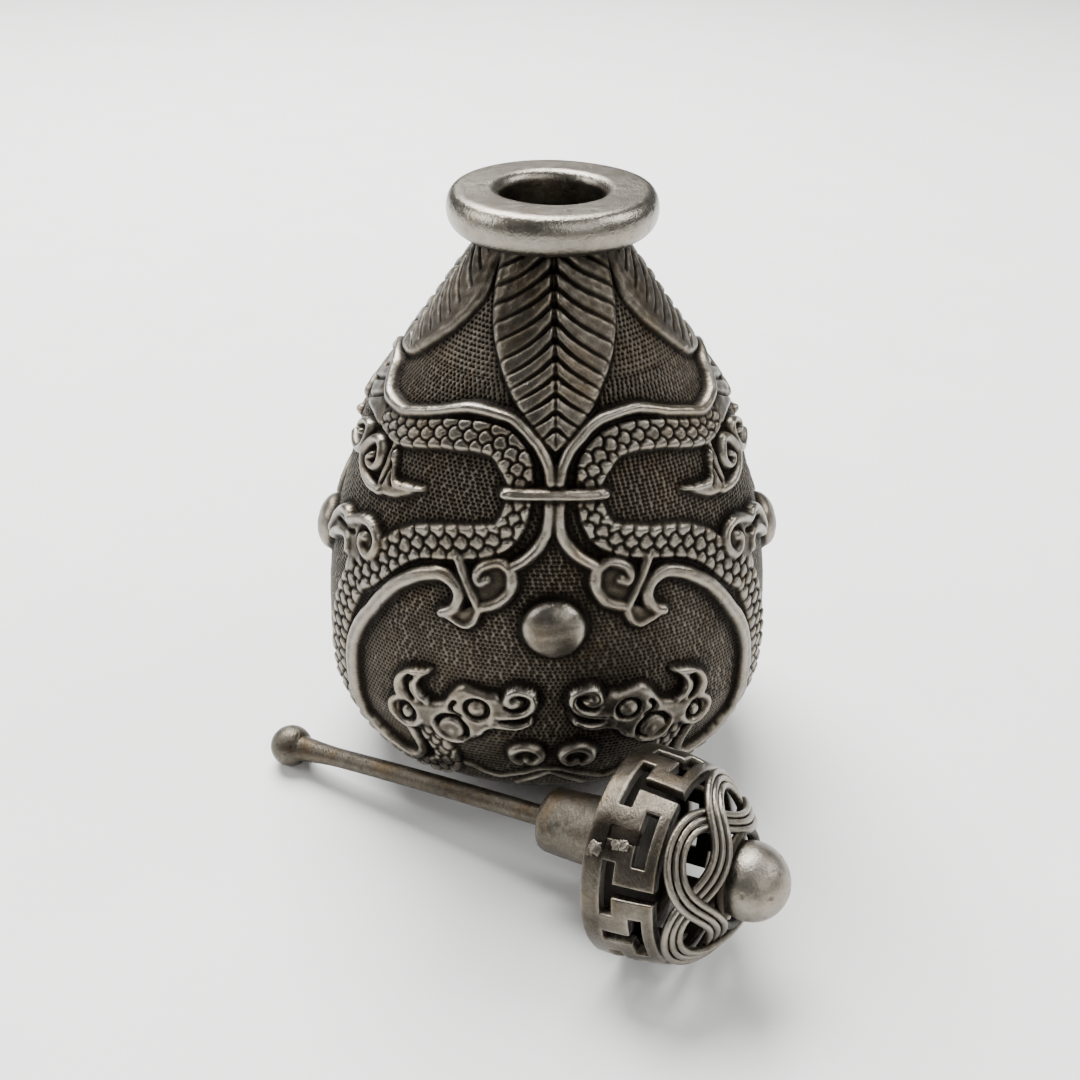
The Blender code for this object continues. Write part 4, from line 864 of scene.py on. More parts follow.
class BottleBody(bpy.types.Operator):
    """Build the four quarters of the body: fine relief outside, a plain wall inside"""

    bl_idname = "bottle.body"
    bl_label = "Bottle body"

    # Runs of levels, from the foot up: (from, to, step), in units of the drawing
    RUNS = ((0.0, 12.0, 0.75), (12.0, 22.0, 0.17), (22.0, 62.0, 0.155), (62.0, 99.0, 0.175))
    NAMES = ("body_front", "body_right", "body_back", "body_left")
    WALL_COLUMNS = 14
    INSIDE_WEAR = 0.4
    # The pits: rows from one line of them to the next, how much wider than the pitch they stand,
    # how far a pit reaches and over what length its side slopes, and the level they start from
    PIT_ROWS = 3
    PIT_CROWDING = 0.93
    PIT_REACH = 0.215
    PIT_SIDE = 0.115
    PIT_FROM = 11.0

    def levels(self):
        """The rows of the grid, up to the seat of the collar."""
        top = float(np.interp(BODY_TOP, FINE_Z, FINE_ARC / UNIT))
        rows = np.concatenate([np.arange(a, min(b, top), step) for a, b, step in self.RUNS])
        return np.concatenate((rows[rows < top - 0.1], [top]))

    def execute(self, context):
        sizes = context.scene.bottle_sizes
        columns = sizes.columns
        levels = self.levels()
        across, level = self.ring_points(columns, levels)
        work = carve(*self.folded(across, level, sizes.wander / MM))
        height = self.softened(work.height.reshape(across.shape))
        gap = work.gap.reshape(across.shape)
        height = height + self.cast_skin(across, level, height)
        pits = self.pits(across, level, gap, sizes)
        patina_and_painted_light = self.patina_and_painted_light(level, height, pits)
        height = height - pits * sizes.pit_depth / MM
        material = finish_metal("antique cast metal", grain=0.14, scratch=0.15)
        for number, name in enumerate(self.NAMES):
            self.quarter(name, number, columns, levels, height, patina_and_painted_light, material)
        return {"FINISHED"}

    @staticmethod
    def ring_points(columns, levels):
        """Points round the whole bottle: odd rows stand half a column on, like brickwork."""
        step = 90.0 / columns
        rows = np.arange(len(levels))
        across = -45.0 + (np.arange(4 * columns)[None] + 0.5 * (rows[:, None] % 2)) * step
        return across, np.repeat(levels[:, None], 4 * columns, axis=1)

    @staticmethod
    def folded(across, level, wander):
        """Fold the whole turn into the drawn quarter, after moving each line a little by hand.

        The moves are sums of sines that close round the bottle.
        """
        turn = np.radians(across)
        up = level / 9.0
        side = wander / 0.4 * (np.sin(3 * turn + 1.7 * up) + np.sin(7 * turn - 2.3 * up + 1.1)
                               + 0.7 * np.sin(13 * turn + 4.1 * up + 0.4))
        lift = wander * (np.sin(4 * turn - 1.3 * up + 2.0) + np.sin(9 * turn + 3.1 * up)
                         + 0.7 * np.sin(17 * turn - 3.7 * up + 0.9))
        folded = np.abs((across + side + 180.0) % 360.0 - 180.0)
        folded = np.where(folded > 90.0, 180.0 - folded, folded)
        return folded.ravel(), (level + lift).ravel()

    @staticmethod
    def cast_skin(across, level, height):
        """The slight unevenness of hand-finished metal: sums of sines, a few hundredths high."""
        turn = np.radians(across)
        wave = (np.sin(21 * turn + 1.1 * level) * np.sin(1.3 * level - 13 * turn)
                + np.sin(37 * turn - 1.9 * level + 1.0) * np.sin(2.3 * level + 17 * turn + 2.0))
        return 0.025 * wave * (height > 0.15)

    @staticmethod
    def softened(height):
        """The height after a little wear: each point takes half its value from its six neighbours.

        The rows above and below stand half a column on or back.
        """
        rows = np.arange(len(height))
        for _ in range(2):
            beside = (np.roll(height, 1, axis=1) + np.roll(height, -1, axis=1)) / 2.0
            total = np.zeros(height.shape)
            for step in (-1, 1):
                other = height[np.clip(rows + step, 0, len(rows) - 1)]
                left = (other + np.roll(other, 1, axis=1)) / 2.0
                right = (other + np.roll(other, -1, axis=1)) / 2.0
                total += np.where(rows[:, None] % 2 == 0, left, right) / 2.0
            height = 0.5 * height + 0.17 * beside + 0.33 * total
        return height

    def pits(self, across, level, gap, sizes):
        """How much of a punched pit each point has.

        Every few rows carry pits an even distance apart round the bottle, each set on the
        nearest point of the grid. The depth falls smoothly with the distance from them.
        """
        rows, columns = across.shape
        step = 360.0 / columns
        scale = degree_units(np.zeros(rows), level[:, 0])
        draw = np.random.default_rng(17)
        marks = np.zeros(across.shape)
        for number, row in enumerate(range(0, rows, self.PIT_ROWS)):
            count = int(360.0 * scale[row] * self.PIT_CROWDING / (sizes.pit_pitch / MM))
            places = (np.arange(count) + 0.5 * (number % 2) + draw.normal(0.0, 0.07, count)) / count
            spots = np.round(places * columns - 0.5 * (row % 2)).astype(int) % columns
            marks[row, spots] = 0.85 + 0.3 * draw.random(count)
        found = np.zeros(across.shape)
        index = np.arange(rows)
        for down in (-1, 0, 1):
            other = index + down
            safe = np.clip(other, 0, rows - 1)
            up = level[safe, 0] - level[:, 0]
            lean = 0.5 * (safe % 2) - 0.5 * (index % 2)
            for along in range(-3, 4):
                far = np.hypot((along + lean) * step * scale, up)
                share = smooth((self.PIT_REACH - far) / self.PIT_SIDE) * (safe == other)
                found = np.maximum(found, np.roll(marks[safe], -along, axis=1) * share[:, None])
        margin = sizes.pit_margin / MM
        return found * smooth((gap - margin) / 0.2) * smooth((level - self.PIT_FROM) / 3.0)

    @staticmethod
    def patina_and_painted_light(level, height, pits):
        """From 0, dirt in a hollow and painted shade, to 1, a worn crest, by how each point stands to
        those round it.

        It gains where the point is over the mean of a small or a wide box, and loses where it is
        under one. Under the small box that is the dirt of a hollow; under the wide box it is partly
        that dirt and partly painted shade beside the relief. It also loses on raised flats, in a pit,
        and close to the collar, where painted shade stands for the collar's shadow over metal a little
        less worn. The odd rows stand half a column on, so they are moved back for the means and on again.
        """
        straight = height.copy()
        straight[1::2] = (height[1::2] + np.roll(height[1::2], 1, axis=1)) / 2.0
        near, wide = blurred(straight, 2), blurred(straight, 7)
        for field in (near, wide):
            field[1::2] = (field[1::2] + np.roll(field[1::2], -1, axis=1)) / 2.0
        # Under the wide mean: partly dirt in the broad hollows, partly painted shade beside the relief
        hollow = np.clip((wide - height) / 0.45, 0.0, 1.0)
        cavity = np.clip((near - height) / 0.10, 0.0, 1.0)
        proud = np.clip((height - near) / 0.08, 0.0, 1.0)
        crest = np.clip((height - wide) / 0.45, 0.0, 1.0)
        # The last term is painted shade close to the collar, for its shadow, over metal a little less
        # worn
        value = (0.61 - 0.12 * smooth(height / 0.3) + 0.26 * proud + 0.18 * crest
                 - 0.40 * cavity - 0.26 * hollow - 0.08 * smooth((level - 60.0) / 8.0))
        return np.clip(value - 1.05 * pits, 0.0, 1.0)

    @staticmethod
    def inner_wall():
        """The wall's inner side, bottom to top: radius, height and what the flat faces take off.

        It is the ground moved in by the wall along its normal, and the bore above that.
        """
        levels = np.concatenate((np.linspace(2.5, 66.0, 24), [70.0]))
        z = height_of(levels)
        step = BOTTLE_HEIGHT * 0.002
        slope = (outline_radius(z + step) - outline_radius(z - step)) / (2.0 * step)
        length = np.hypot(1.0, slope)
        radius = outline_radius(z) - GROUND_DEPTH * UNIT - WALL / length
        z = z + WALL * slope / length
        keep = (radius > BORE) & (z > 0.0) & (np.maximum.accumulate(z) == z)
        radius, z = radius[keep], z[keep]
        less = outline_radius(z) * (1.0 - flatness(z))
        radius = np.concatenate((radius, [BORE, BORE]))
        less = np.concatenate((less, [0.0, 0.0]))
        return radius, np.concatenate((z, [z[-1] + 0.0015, BODY_TOP])), less

    @staticmethod
    def skin(number, columns, levels, height, patina_and_painted_light):
        """The relief of one quarter: points, wear, faces, the first point of each row, degrees.

        Even rows have a point on both seams. Odd rows stand half a column on, and get a point
        on each seam as well, halfway in value between its neighbours.
        """
        first = number * columns
        rows = np.arange(len(levels))
        counts = np.where(rows % 2 == 0, columns + 1, columns + 2)
        offset = np.concatenate(([0], np.cumsum(counts)))
        across, level, lift, wear_and_painted_light = np.zeros((4, offset[-1]))
        between = (np.arange(first, first + columns + 1)) % (4 * columns)
        before = (first - 1) % (4 * columns)
        k, m = np.arange(columns)[None], np.arange(columns + 1)[None]
        faces = []
        for odd in (0, 1):
            own = rows[rows % 2 == odd]
            places = np.concatenate(([0.0], k[0] + 0.5, [columns])) if odd else m[0]
            spots = offset[own][:, None] + np.arange(len(places))
            across[spots] = -45.0 + 90.0 * number + places * (90.0 / columns)
            level[spots] = levels[own][:, None]
            for target, source in ((lift, height), (wear_and_painted_light, patina_and_painted_light)):
                values = source[own][:, between]
                if odd:
                    left = (source[own][:, before] + values[:, 0]) / 2.0
                    right = (values[:, -2] + values[:, -1]) / 2.0
                    values = np.concatenate((left[:, None], values[:, :-1], right[:, None]), axis=1)
                target[spots] = values
            lower = own[own < len(levels) - 1]
            a, b = offset[lower][:, None], offset[lower + 1][:, None]
            if odd:
                faces += [(a + m, a + m + 1, b + m), (a + k + 1, b + k + 1, b + k)]
            else:
                faces += [(a + k, a + k + 1, b + k + 1), (a + m, b + m + 1, b + m)]
        outer = np.concatenate([np.stack(corners, axis=-1).reshape(-1, 3) for corners in faces])
        return on_bottle(across, level, lift), wear_and_painted_light, outer, offset, across[offset[-2]:]

    def quarter(self, name, number, columns, levels, height, patina_and_painted_light, material):
        """One quarter as a closed piece: relief, foot, inner wall, rim and the two seam faces."""
        points, wear_and_painted_light, outer, offset, top_at = self.skin(number, columns, levels, height, patina_and_painted_light)
        total = len(points)
        foot_row = np.arange(columns + 1)
        top_row = np.arange(offset[-2], total)
        foot = points[foot_row].copy()
        foot[:, 2] = 0.0
        foot_index = total + foot_row
        axis_low = total + columns + 1
        radius, z, less = self.inner_wall()
        turn = np.radians(-45.0 + 90.0 * number + np.linspace(0.0, 90.0, self.WALL_COLUMNS + 1))
        deep = np.maximum(radius - less, BORE)
        wall = np.stack([radius[:, None] * np.sin(turn), -deep[:, None] * np.cos(turn),
                         z[:, None] + 0.0 * turn], axis=-1)
        wall_first = axis_low + 1
        wall_index = wall_first + np.arange(wall.shape[0] * wall.shape[1]).reshape(wall.shape[:2])
        axis_floor = wall_first + wall_index.size
        points = np.concatenate((points, foot, [[0.0, 0.0, 0.0]], wall.reshape(-1, 3),
                                 [[0.0, 0.0, z[0]]]))
        faces = [
            outer,
            grid_quads(wall.shape[0], wall.shape[1], wall_first)[:, ::-1],
            np.stack([foot_index[:-1], foot_index[1:], foot_row[1:], foot_row[:-1]], axis=1),
            fan(axis_low, foot_index, False, wrap=False),
            fan(axis_floor, wall_index[0], True, wrap=False),
            lace(top_row, top_at, wall_index[-1], np.degrees(turn)),
        ]
        for end, edge in ((0, offset[:-1]), (1, offset[1:] - 1)):
            out = np.concatenate(([axis_low, foot_index[-end]], edge))
            inn = np.concatenate(([axis_floor], wall_index[:, -end]))
            # The tiny steps keep two points of one height in order
            out_at, inn_at = (points[line, 2] + np.arange(len(line)) * 1e-9 for line in (out, inn))
            seam = lace(out, out_at, inn, inn_at)
            faces.append(seam if end else seam[:, ::-1])
        wear_and_painted_light = np.concatenate((wear_and_painted_light, np.full(len(points) - total, self.INSIDE_WEAR)))
        new_piece(name, points, faces, material, "bottle_body", wear_and_painted_light,
                  flat=range(2, len(faces)))


class MouthRing(bpy.types.Operator):
    """Turn the smooth collar round the mouth"""

    bl_idname = "bottle.mouth_ring"
    bl_label = "Mouth ring"

    SIDES = 240
    NOSE = 0.0016
    LIP = 0.0011

    def execute(self, context):
        low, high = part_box("mouth_ring")
        outer = (high.x - low.x) / 2.0
        bottom, top = low.z, high.z
        profile = self.profile(outer, bottom, top)
        turn = full_turn(self.SIDES)
        points = about_axis(profile[:, :1], turn, profile[:, 1:]).reshape(-1, 3)
        along = np.roll(profile, -1, axis=0) - np.roll(profile, 1, axis=0)
        normal = unit_rows(pairs(along[:, 1], -along[:, 0]))
        out = about_axis(normal[:, :1], turn, normal[:, 1:]).reshape(-1, 3)
        pits = pitted(points, 60, 0.00030, 0.00004, 3)
        angles = np.tile(turn, len(profile))
        wave = 0.00003 * (np.sin(3 * angles + 1.0) + np.sin(5 * angles) * 0.6 - 1.6)
        high_part = (points[:, 2] - bottom) / (top - bottom)
        out_part = np.hypot(points[:, 0], points[:, 1]) / outer
        # Lighter up and out towards the nose: partly wear, partly a painted highlight
        wear_and_painted_light = 0.62 + 0.16 * smooth(high_part) + 0.12 * out_part - WORN_PIT_DIRT * pits
        # Darker low on the seat: painted shade for the dark reflection there
        wear_and_painted_light -= 0.35 * smooth((0.25 - high_part) / 0.25)
        # Darker across the flat top: painted shade for its dull reflection
        wear_and_painted_light -= 0.22 * smooth((high_part - 0.93) / 0.07)
        # Darker down the bore: painted shade where little light reaches
        wear_and_painted_light -= 0.15 * smooth((0.52 - out_part) / 0.04)
        material = finish_metal("worn collar metal", lift=0.08, roughness=(0.24, 0.46), warmth=0.4,
                                scratch=0.5)
        new_piece("collar", points + out * (wave - pits)[:, None],
                  [loop_quads(len(profile), len(turn))], material, "mouth_ring",
                  np.clip(wear_and_painted_light, 0.05, 1.0))
        return {"FINISHED"}

    def profile(self, outer, bottom, top):
        """The collar's outline, anticlockwise: seat, round nose, flat top and soft lip."""
        nose, lip = self.NOSE, self.LIP
        half = (top - bottom) / 2.0
        turn = np.radians(np.linspace(-90.0, 90.0, 34))
        edge = np.radians(np.linspace(90.0, 180.0, 12))
        return np.concatenate((
            pairs(np.linspace(BORE, outer - nose, 10, endpoint=False), bottom),
            pairs(outer - nose + nose * np.cos(turn) ** 0.8, bottom + half + half * np.sin(turn)),
            pairs(np.linspace(outer - nose, BORE + lip, 12)[1:-1], top),
            pairs(BORE + lip + lip * np.cos(edge), top - lip + lip * np.sin(edge)),
            pairs(BORE, np.linspace(top - lip, bottom, 8)[1:-1]),
        ))


class Stopper:
    """Where the stopper lies: its cap's rim and the ball of its spoon rest on the ground.

    The plug and the rod lean a little from the cap's axis.
    """

    LENGTH = 0.05864
    FINIAL_HEIGHT = 0.0128
    FINIAL_RADIUS = 0.0038
    SPOON_RADIUS = 0.00245
    # Where the ball of the spoon lies on the ground, and which way the stopper points from it
    TIP = (-0.0307, -0.0093)
    HEADING = math.radians(-31.8)
    # How far the plug's foot stands off the cap's axis
    OFFSET = 0.0006
    PLUG_LENGTH = 0.0093
    PLUG_RADIUS = 0.0037
    PLUG_END_RADIUS = 0.0034
    GAP = 0.0003
    CAP_RADIUS = 0.0105

    def __init__(self):
        reach = self.LENGTH - self.FINIAL_HEIGHT
        tilts = np.linspace(0.0, math.radians(40.0), 400001)
        rim = self.SPOON_RADIUS + reach * np.sin(tilts) - self.CAP_RADIUS * np.cos(tilts)
        tilt = float(np.interp(0.0, rim, tilts))
        flat = np.array([math.cos(self.HEADING), math.sin(self.HEADING), 0.0])
        axis = flat * math.cos(tilt) + np.array([0.0, 0.0, math.sin(tilt)])
        across = unit_rows(np.cross((0.0, 0.0, 1.0), axis))
        up = np.cross(axis, across)
        tip = np.array([*self.TIP, self.SPOON_RADIUS])
        base = tip + axis * reach
        self.cap = (base, across, up, axis)
        plug_base = base + up * self.OFFSET
        plug_axis = unit_rows(plug_base - tip)
        across = unit_rows(across - plug_axis * (across @ plug_axis))
        self.plug = (plug_base, across, np.cross(plug_axis, across), plug_axis)

    @staticmethod
    def place(local, frame):
        """From the cap's or the plug's own coordinates to the ground's: base plus three steps."""
        base, across, up, axis = frame
        return base + local[:, :1] * across + local[:, 1:2] * up + local[:, 2:] * axis


def turned(profile, sides):
    """A closed surface turned about Z from a (radius, height) outline that starts and ends on it.

    Returns its points and its faces: a pole, rings, and a pole.
    """
    rings = about_axis(profile[1:-1, :1], full_turn(sides), profile[1:-1, 1:]).reshape(-1, 3)
    points = np.concatenate(([[0.0, 0.0, profile[0, 1]]], rings, [[0.0, 0.0, profile[-1, 1]]]))
    return points, ball_faces(len(profile) - 2, sides)


def ball_faces(rows, sides):
    """Faces of a pole, rings of points and a pole, which climb from the first to the last."""
    ring = np.arange(sides)
    return [grid_quads(rows, sides, 1, wrap=True), fan(0, 1 + ring, False),
            fan(1 + rows * sides, 1 + (rows - 1) * sides + ring, True)]


def joined(parts):
    """One set of points, faces and wear from several; a part's wear may be one number."""
    points, groups, wear_and_painted_light = [], [], []
    count = 0
    for own, faces, tone in parts:
        points.append(own)
        groups += [face + count for face in faces]
        wear_and_painted_light.append(np.broadcast_to(tone, len(own)))
        count += len(own)
    return np.concatenate(points), groups, np.concatenate(wear_and_painted_light)


class FretCap(bpy.types.Operator):
    """Build the cap: a plate with a pierced fret band, damaged and soldered in one place"""

    bl_idname = "bottle.fret_cap"
    bl_label = "Fret cap"

    WALL = 0.0012
    PLATE = 0.0012
    PLATE_LIFT = 0.00001
    BASE = 0.0020
    SLOT = 0.0012
    STRAP = 0.0016
    LEG = 0.0013
    LENGTH = 0.0055
    ROUND = 0.00016
    REPEATS = 6
    STEP = 0.00026
    # The repair's lumps, in millimetres from the foot of the broken leg's middle: place round the
    # band, height, half the width, height and thickness, how far out, squareness, roughness, tone
    LUMPS = (
        (0.00, 3.35, 0.74, 1.60, 0.30, -0.55, 0.22, 0.015, 0.10),
        (0.62, 1.28, 1.24, 0.70, 0.14, -0.10, 0.22, 0.015, 0.05),
        (1.90, 1.05, 0.66, 0.62, 0.10, 0.00, 0.70, 0.120, 0.70),
        (2.35, 0.60, 0.40, 0.34, 0.08, 0.00, 0.70, 0.150, 0.58),
        (1.15, 2.95, 0.46, 0.42, 0.10, -0.05, 0.70, 0.140, 0.66),
        (1.00, 3.75, 0.50, 0.50, 0.12, -0.06, 0.70, 0.120, 0.72),
        (1.45, 2.35, 0.34, 0.34, 0.09, 0.00, 0.90, 0.060, 0.03),
    )

    def execute(self, context):
        sizes = context.scene.stopper_sizes
        stopper = Stopper()
        radius = sizes.cap_radius
        repeat = 2.0 * math.pi * radius / self.REPEATS
        holes = self.holes(repeat, sizes.cap_height)
        s_breaks = {edge for hole in holes for edge in hole[:2]} | {0.0, repeat * self.REPEATS}
        h_breaks = {edge for hole in holes for edge in hole[2:] if edge < sizes.cap_height}
        s_lines = self.lines(sorted(s_breaks))[:-1]
        h_lines = self.lines(sorted(h_breaks | {0.0, sizes.cap_height}))
        low = self.PLATE_LIFT
        plate, plate_faces = turned(np.array((
            (0.0, low), (radius * 0.5, low), (radius - self.WALL * 0.5, low),
            (radius - self.WALL * 0.4, self.PLATE * 0.5), (radius - self.WALL * 0.5, self.PLATE),
            (radius * 0.5, self.PLATE), (0.0, self.PLATE))), 72)
        points, groups, wear_and_painted_light = joined((
            self.band(s_lines, h_lines, holes, repeat, sizes), (plate, plate_faces, 0.3),
            *self.solder(sizes)))
        material = finish_metal("worn fret metal", lift=0.02, roughness=(0.26, 0.55), warmth=0.8)
        new_piece("fret_cap", stopper.place(points, stopper.cap), groups, material,
                  "stopper_fret_cap", np.clip(wear_and_painted_light, 0.0, 1.0))
        return {"FINISHED"}

    def holes(self, repeat, top):
        """The fret's holes as rectangles (from, to, low, high), unrolled: T slots that stand and hang."""
        low = self.BASE
        high = low + self.SLOT + self.STRAP
        half, leg = self.LENGTH / 2.0, self.LEG / 2.0
        around = repeat * self.REPEATS
        found = []
        for number in range(self.REPEATS):
            middle = repeat * (number + 0.5)
            found.append((middle - half, middle + half, low, low + self.SLOT))
            found.append((middle - leg, middle + leg, low + self.SLOT, top + 0.001))
            other = middle + repeat / 2.0
            for turn in (0.0, -around):
                if other + half + turn > 0.0 and other - half + turn < around:
                    for reach, bottom, end in ((half, high, high + self.SLOT), (leg, low, high)):
                        found.append((max(other - reach + turn, 0.0),
                                      min(other + reach + turn, around), bottom, end))
        return found

    def lines(self, breaks):
        """Grid lines at every edge, close beside it for its rounding, and evenly between."""
        found = []
        for a, b in zip(breaks, breaks[1:]):
            if b - a < 1e-7:
                continue
            near = min(self.ROUND, (b - a) * 0.3)
            inner = np.linspace(a + near, b - near, max(2, int((b - a) / self.STEP)))
            found += [a, a + near * 0.35] + list(inner) + [b - near * 0.35]
        return np.array(found + [breaks[-1]])

    def band(self, s_lines, h_lines, holes, repeat, sizes):
        """The pierced band: an outer and an inner skin on one grid, joined round every hole.

        The skins draw in near an edge by a quarter round of the distance to the nearest hole.
        """
        columns, rows = len(s_lines), len(h_lines)
        around = repeat * self.REPEATS
        s, h = np.meshgrid(s_lines, h_lines, indexing="ij")
        after = np.append(s_lines[1:], around)
        middle_s, middle_h = np.meshgrid((s_lines + after) / 2.0,
                                         (h_lines[1:] + h_lines[:-1]) / 2.0, indexing="ij")
        solid = np.ones(middle_s.shape, bool)
        edge = np.minimum(h, sizes.cap_height - h)
        for a, b, low, high in holes:
            solid &= ~((middle_s > a) & (middle_s < b) & (middle_h > low) & (middle_h < high))
            for turn in (-around, 0.0, around):
                ds = np.maximum(np.abs(s + turn - (a + b) / 2.0) - (b - a) / 2.0, 0.0)
                dh = np.maximum(np.abs(h - (low + high) / 2.0) - (high - low) / 2.0, 0.0)
                edge = np.minimum(edge, np.hypot(ds, dh))
        inset = self.ROUND * (1.0 - dome(edge / self.ROUND))
        share = np.clip(h / sizes.cap_height, 0.0, 1.0)
        outer = sizes.cap_radius + (sizes.cap_top_radius - sizes.cap_radius) * share ** 2.2
        angle = sizes.fret_turn + (s - repeat / 2.0) / sizes.cap_radius
        uneven = 0.00004 * np.sin(angle * 5.0 + h * 900.0) * np.sin(angle * 11.0 - h * 500.0)
        points = np.concatenate([about_axis(radius, angle, h).reshape(-1, 3) for radius in (
            outer - inset + uneven, outer - self.WALL + inset)])
        count = columns * rows
        i, j = np.nonzero(solid)
        n = (i + 1) % columns
        a, b, c, d = i * rows + j, n * rows + j, n * rows + j + 1, i * rows + j + 1
        faces = [np.stack([a, b, c, d], axis=1), np.stack([d, c, b, a], axis=1) + count]
        padded = np.pad(solid, ((0, 0), (1, 1)))
        # The four sides of a cell: whether the next one is solid, and the side's two corners
        sides = ((np.roll(solid, 1, axis=0), (0, 1), (0, 0)),
                 (np.roll(solid, -1, axis=0), (1, 0), (1, 1)),
                 (padded[:, :-2], (0, 0), (1, 0)),
                 (padded[:, 2:], (1, 1), (0, 1)))
        for beside, *corners in sides:
            i, j = np.nonzero(solid & ~beside)
            p, q = ((i + x) % columns * rows + j + y for x, y in corners)
            faces.append(np.stack([q, p, p + count, q + count], axis=1))
        used, back = np.unique(np.concatenate(faces), return_inverse=True)
        spot = np.sin(angle * 7.0 + h * 1100.0) * 0.06
        outer_wear_and_shade = 0.57 + spot + 0.24 * (1.0 - smooth(edge / 0.0003)) - 0.05 * share
        stain = ((s - repeat * 2.0 - 0.0008) / 0.0021) ** 2 + ((h - 0.0020) / 0.0022) ** 2
        # The stain is a real dark mark by the repair; the second term darkens the base ring as painted
        # shade
        outer_wear_and_shade -= 0.34 * np.exp(-stain ** 2) + 0.09 * smooth((0.0021 - h) / 0.0006)
        wear_and_painted_light = np.concatenate((outer_wear_and_shade.ravel(), np.full(h.size, 0.36)))
        return points[used], [back.reshape(-1, 4)], wear_and_painted_light[used]

    def solder(self, sizes):
        """The old repair: dark filler in the broken leg, a dark patch under it, and solder crumbs.

        Each lump is a ball whose sines and cosines are raised to a power, which makes it square
        when the power is small, and its radius swings with sines of both its angles.
        """
        angle = sizes.fret_turn + math.pi / 2.0
        v, u = np.meshgrid(np.linspace(0.0, math.pi, 18), full_turn(28), indexing="ij")

        def power(wave, exponent):
            return np.sign(wave) * np.abs(wave) ** exponent

        for number, (s, h, wide, tall, thick, sink, square, rough, tone) in enumerate(self.LUMPS):
            swing = 1.0 + rough * (np.sin(3 * u + 5 * v + number) + 0.7 * np.sin(7 * u - 6 * v))
            x = power(np.sin(v), square) * power(np.cos(u), square) * wide * swing
            y = power(np.cos(v), square) * tall * swing
            z = power(np.sin(v), square) * power(np.sin(u), square) * thick * swing
            lump = about_axis(sizes.cap_radius + (sink + z) * MM,
                              angle + (s + x) * MM / sizes.cap_radius, (h + y) * MM)
            points = np.concatenate((lump[:1, 0], lump[1:-1].reshape(-1, 3), lump[-1:, 0]))
            yield points, [face[:, ::-1] for face in ball_faces(len(v) - 2, u.shape[1])], tone


class Knotwork(bpy.types.Operator):
    """Weave the knot of five eyes from three wires that go twice round the ball"""

    bl_idname = "bottle.knotwork"
    bl_label = "Knotwork"

    EYES = 5
    RADIUS = 0.0098
    SEAT = 0.0011
    RISE = 0.0030
    STRAP = 0.00225
    WIRE = 0.00037
    LIFT = 0.00036
    # How much slower the strap turns where it crosses itself, which makes the eyes rounder
    LINGER = 0.05
    STEPS = 640
    SIDES = 12
    HUB_WIRE = 0.00045

    def execute(self, context):
        sizes = context.scene.stopper_sizes
        stopper = Stopper()
        hub = Stopper.FINIAL_RADIUS + Stopper.GAP
        turn = 2.0 * full_turn(self.STEPS)
        swing = self.EYES / 2.0 * turn
        outer = self.RADIUS - self.STRAP / 2.0
        inner = hub + self.STRAP / 2.0
        radius = (outer + inner) / 2.0 + (outer - inner) / 2.0 * np.cos(swing)
        height = self.dome_height(radius, sizes.cap_height) + self.LIFT * np.sin(swing)
        angle = turn + self.LINGER * np.sin(2.0 * swing) + sizes.knot_turn
        middle = about_axis(radius, angle, height)
        along = unit_rows(np.roll(middle, -1, axis=0) - np.roll(middle, 1, axis=0))
        tilt = math.atan2(self.RISE, outer - inner)
        side = unit_rows(np.cross(along, about_axis(math.sin(tilt), angle, math.cos(tilt))))
        up = np.cross(side, along)
        section = full_turn(self.SIDES)
        # Each wire is lighter on its outer side, partly wear and partly painted light, and darker against
        # the dome as painted shade
        wear_and_painted_light = 0.54 + np.sin(section)[None] * 0.34 + 0.12 * np.sin(swing * 3.0)[:, None] * 0.4
        spacing = (self.STRAP - 2.0 * self.WIRE) / 2.0
        parts = []
        for offset in (-spacing, 0.0, spacing):
            tube = ((middle + side * offset)[:, None]
                    + side[:, None] * (self.WIRE * np.cos(section))[None, :, None]
                    + up[:, None] * (self.WIRE * 1.15 * np.sin(section))[None, :, None])
            parts.append((tube.reshape(-1, 3), [loop_quads(len(turn), len(section))[:, ::-1]],
                          wear_and_painted_light.ravel()))
        points, groups, wear_and_painted_light = joined((*parts, self.hub_ring(hub, sizes.cap_height)))
        material = finish_metal("knot wire metal", lift=0.02, roughness=(0.25, 0.6), warmth=0.3)
        new_piece("knotwork", stopper.place(points, stopper.cap), groups, material,
                  "stopper_knotwork", np.clip(wear_and_painted_light, 0.0, 1.0))
        return {"FINISHED"}

    def dome_height(self, radius, cap_height):
        """The height of the dome over the cap's underside: a power of the way in to the hub."""
        outer = self.RADIUS - self.STRAP / 2.0
        inner = Stopper.FINIAL_RADIUS + Stopper.GAP + self.STRAP / 2.0
        t = np.maximum(outer - radius, 0.0) / (outer - inner)
        return cap_height + self.SEAT + self.RISE * t ** 0.9

    def hub_ring(self, hub, cap_height):
        """A plain ring under the ball that the wires are soldered to."""
        wire = self.HUB_WIRE
        level = float(self.dome_height(np.array(hub + wire), cap_height)) - 0.0002
        turn = full_turn(72)
        bend = full_turn(self.SIDES)[:, None]
        points = about_axis(hub + wire + wire * np.cos(bend), turn, level + wire * np.sin(bend))
        return points.reshape(-1, 3), [loop_quads(len(bend), len(turn))], 0.28


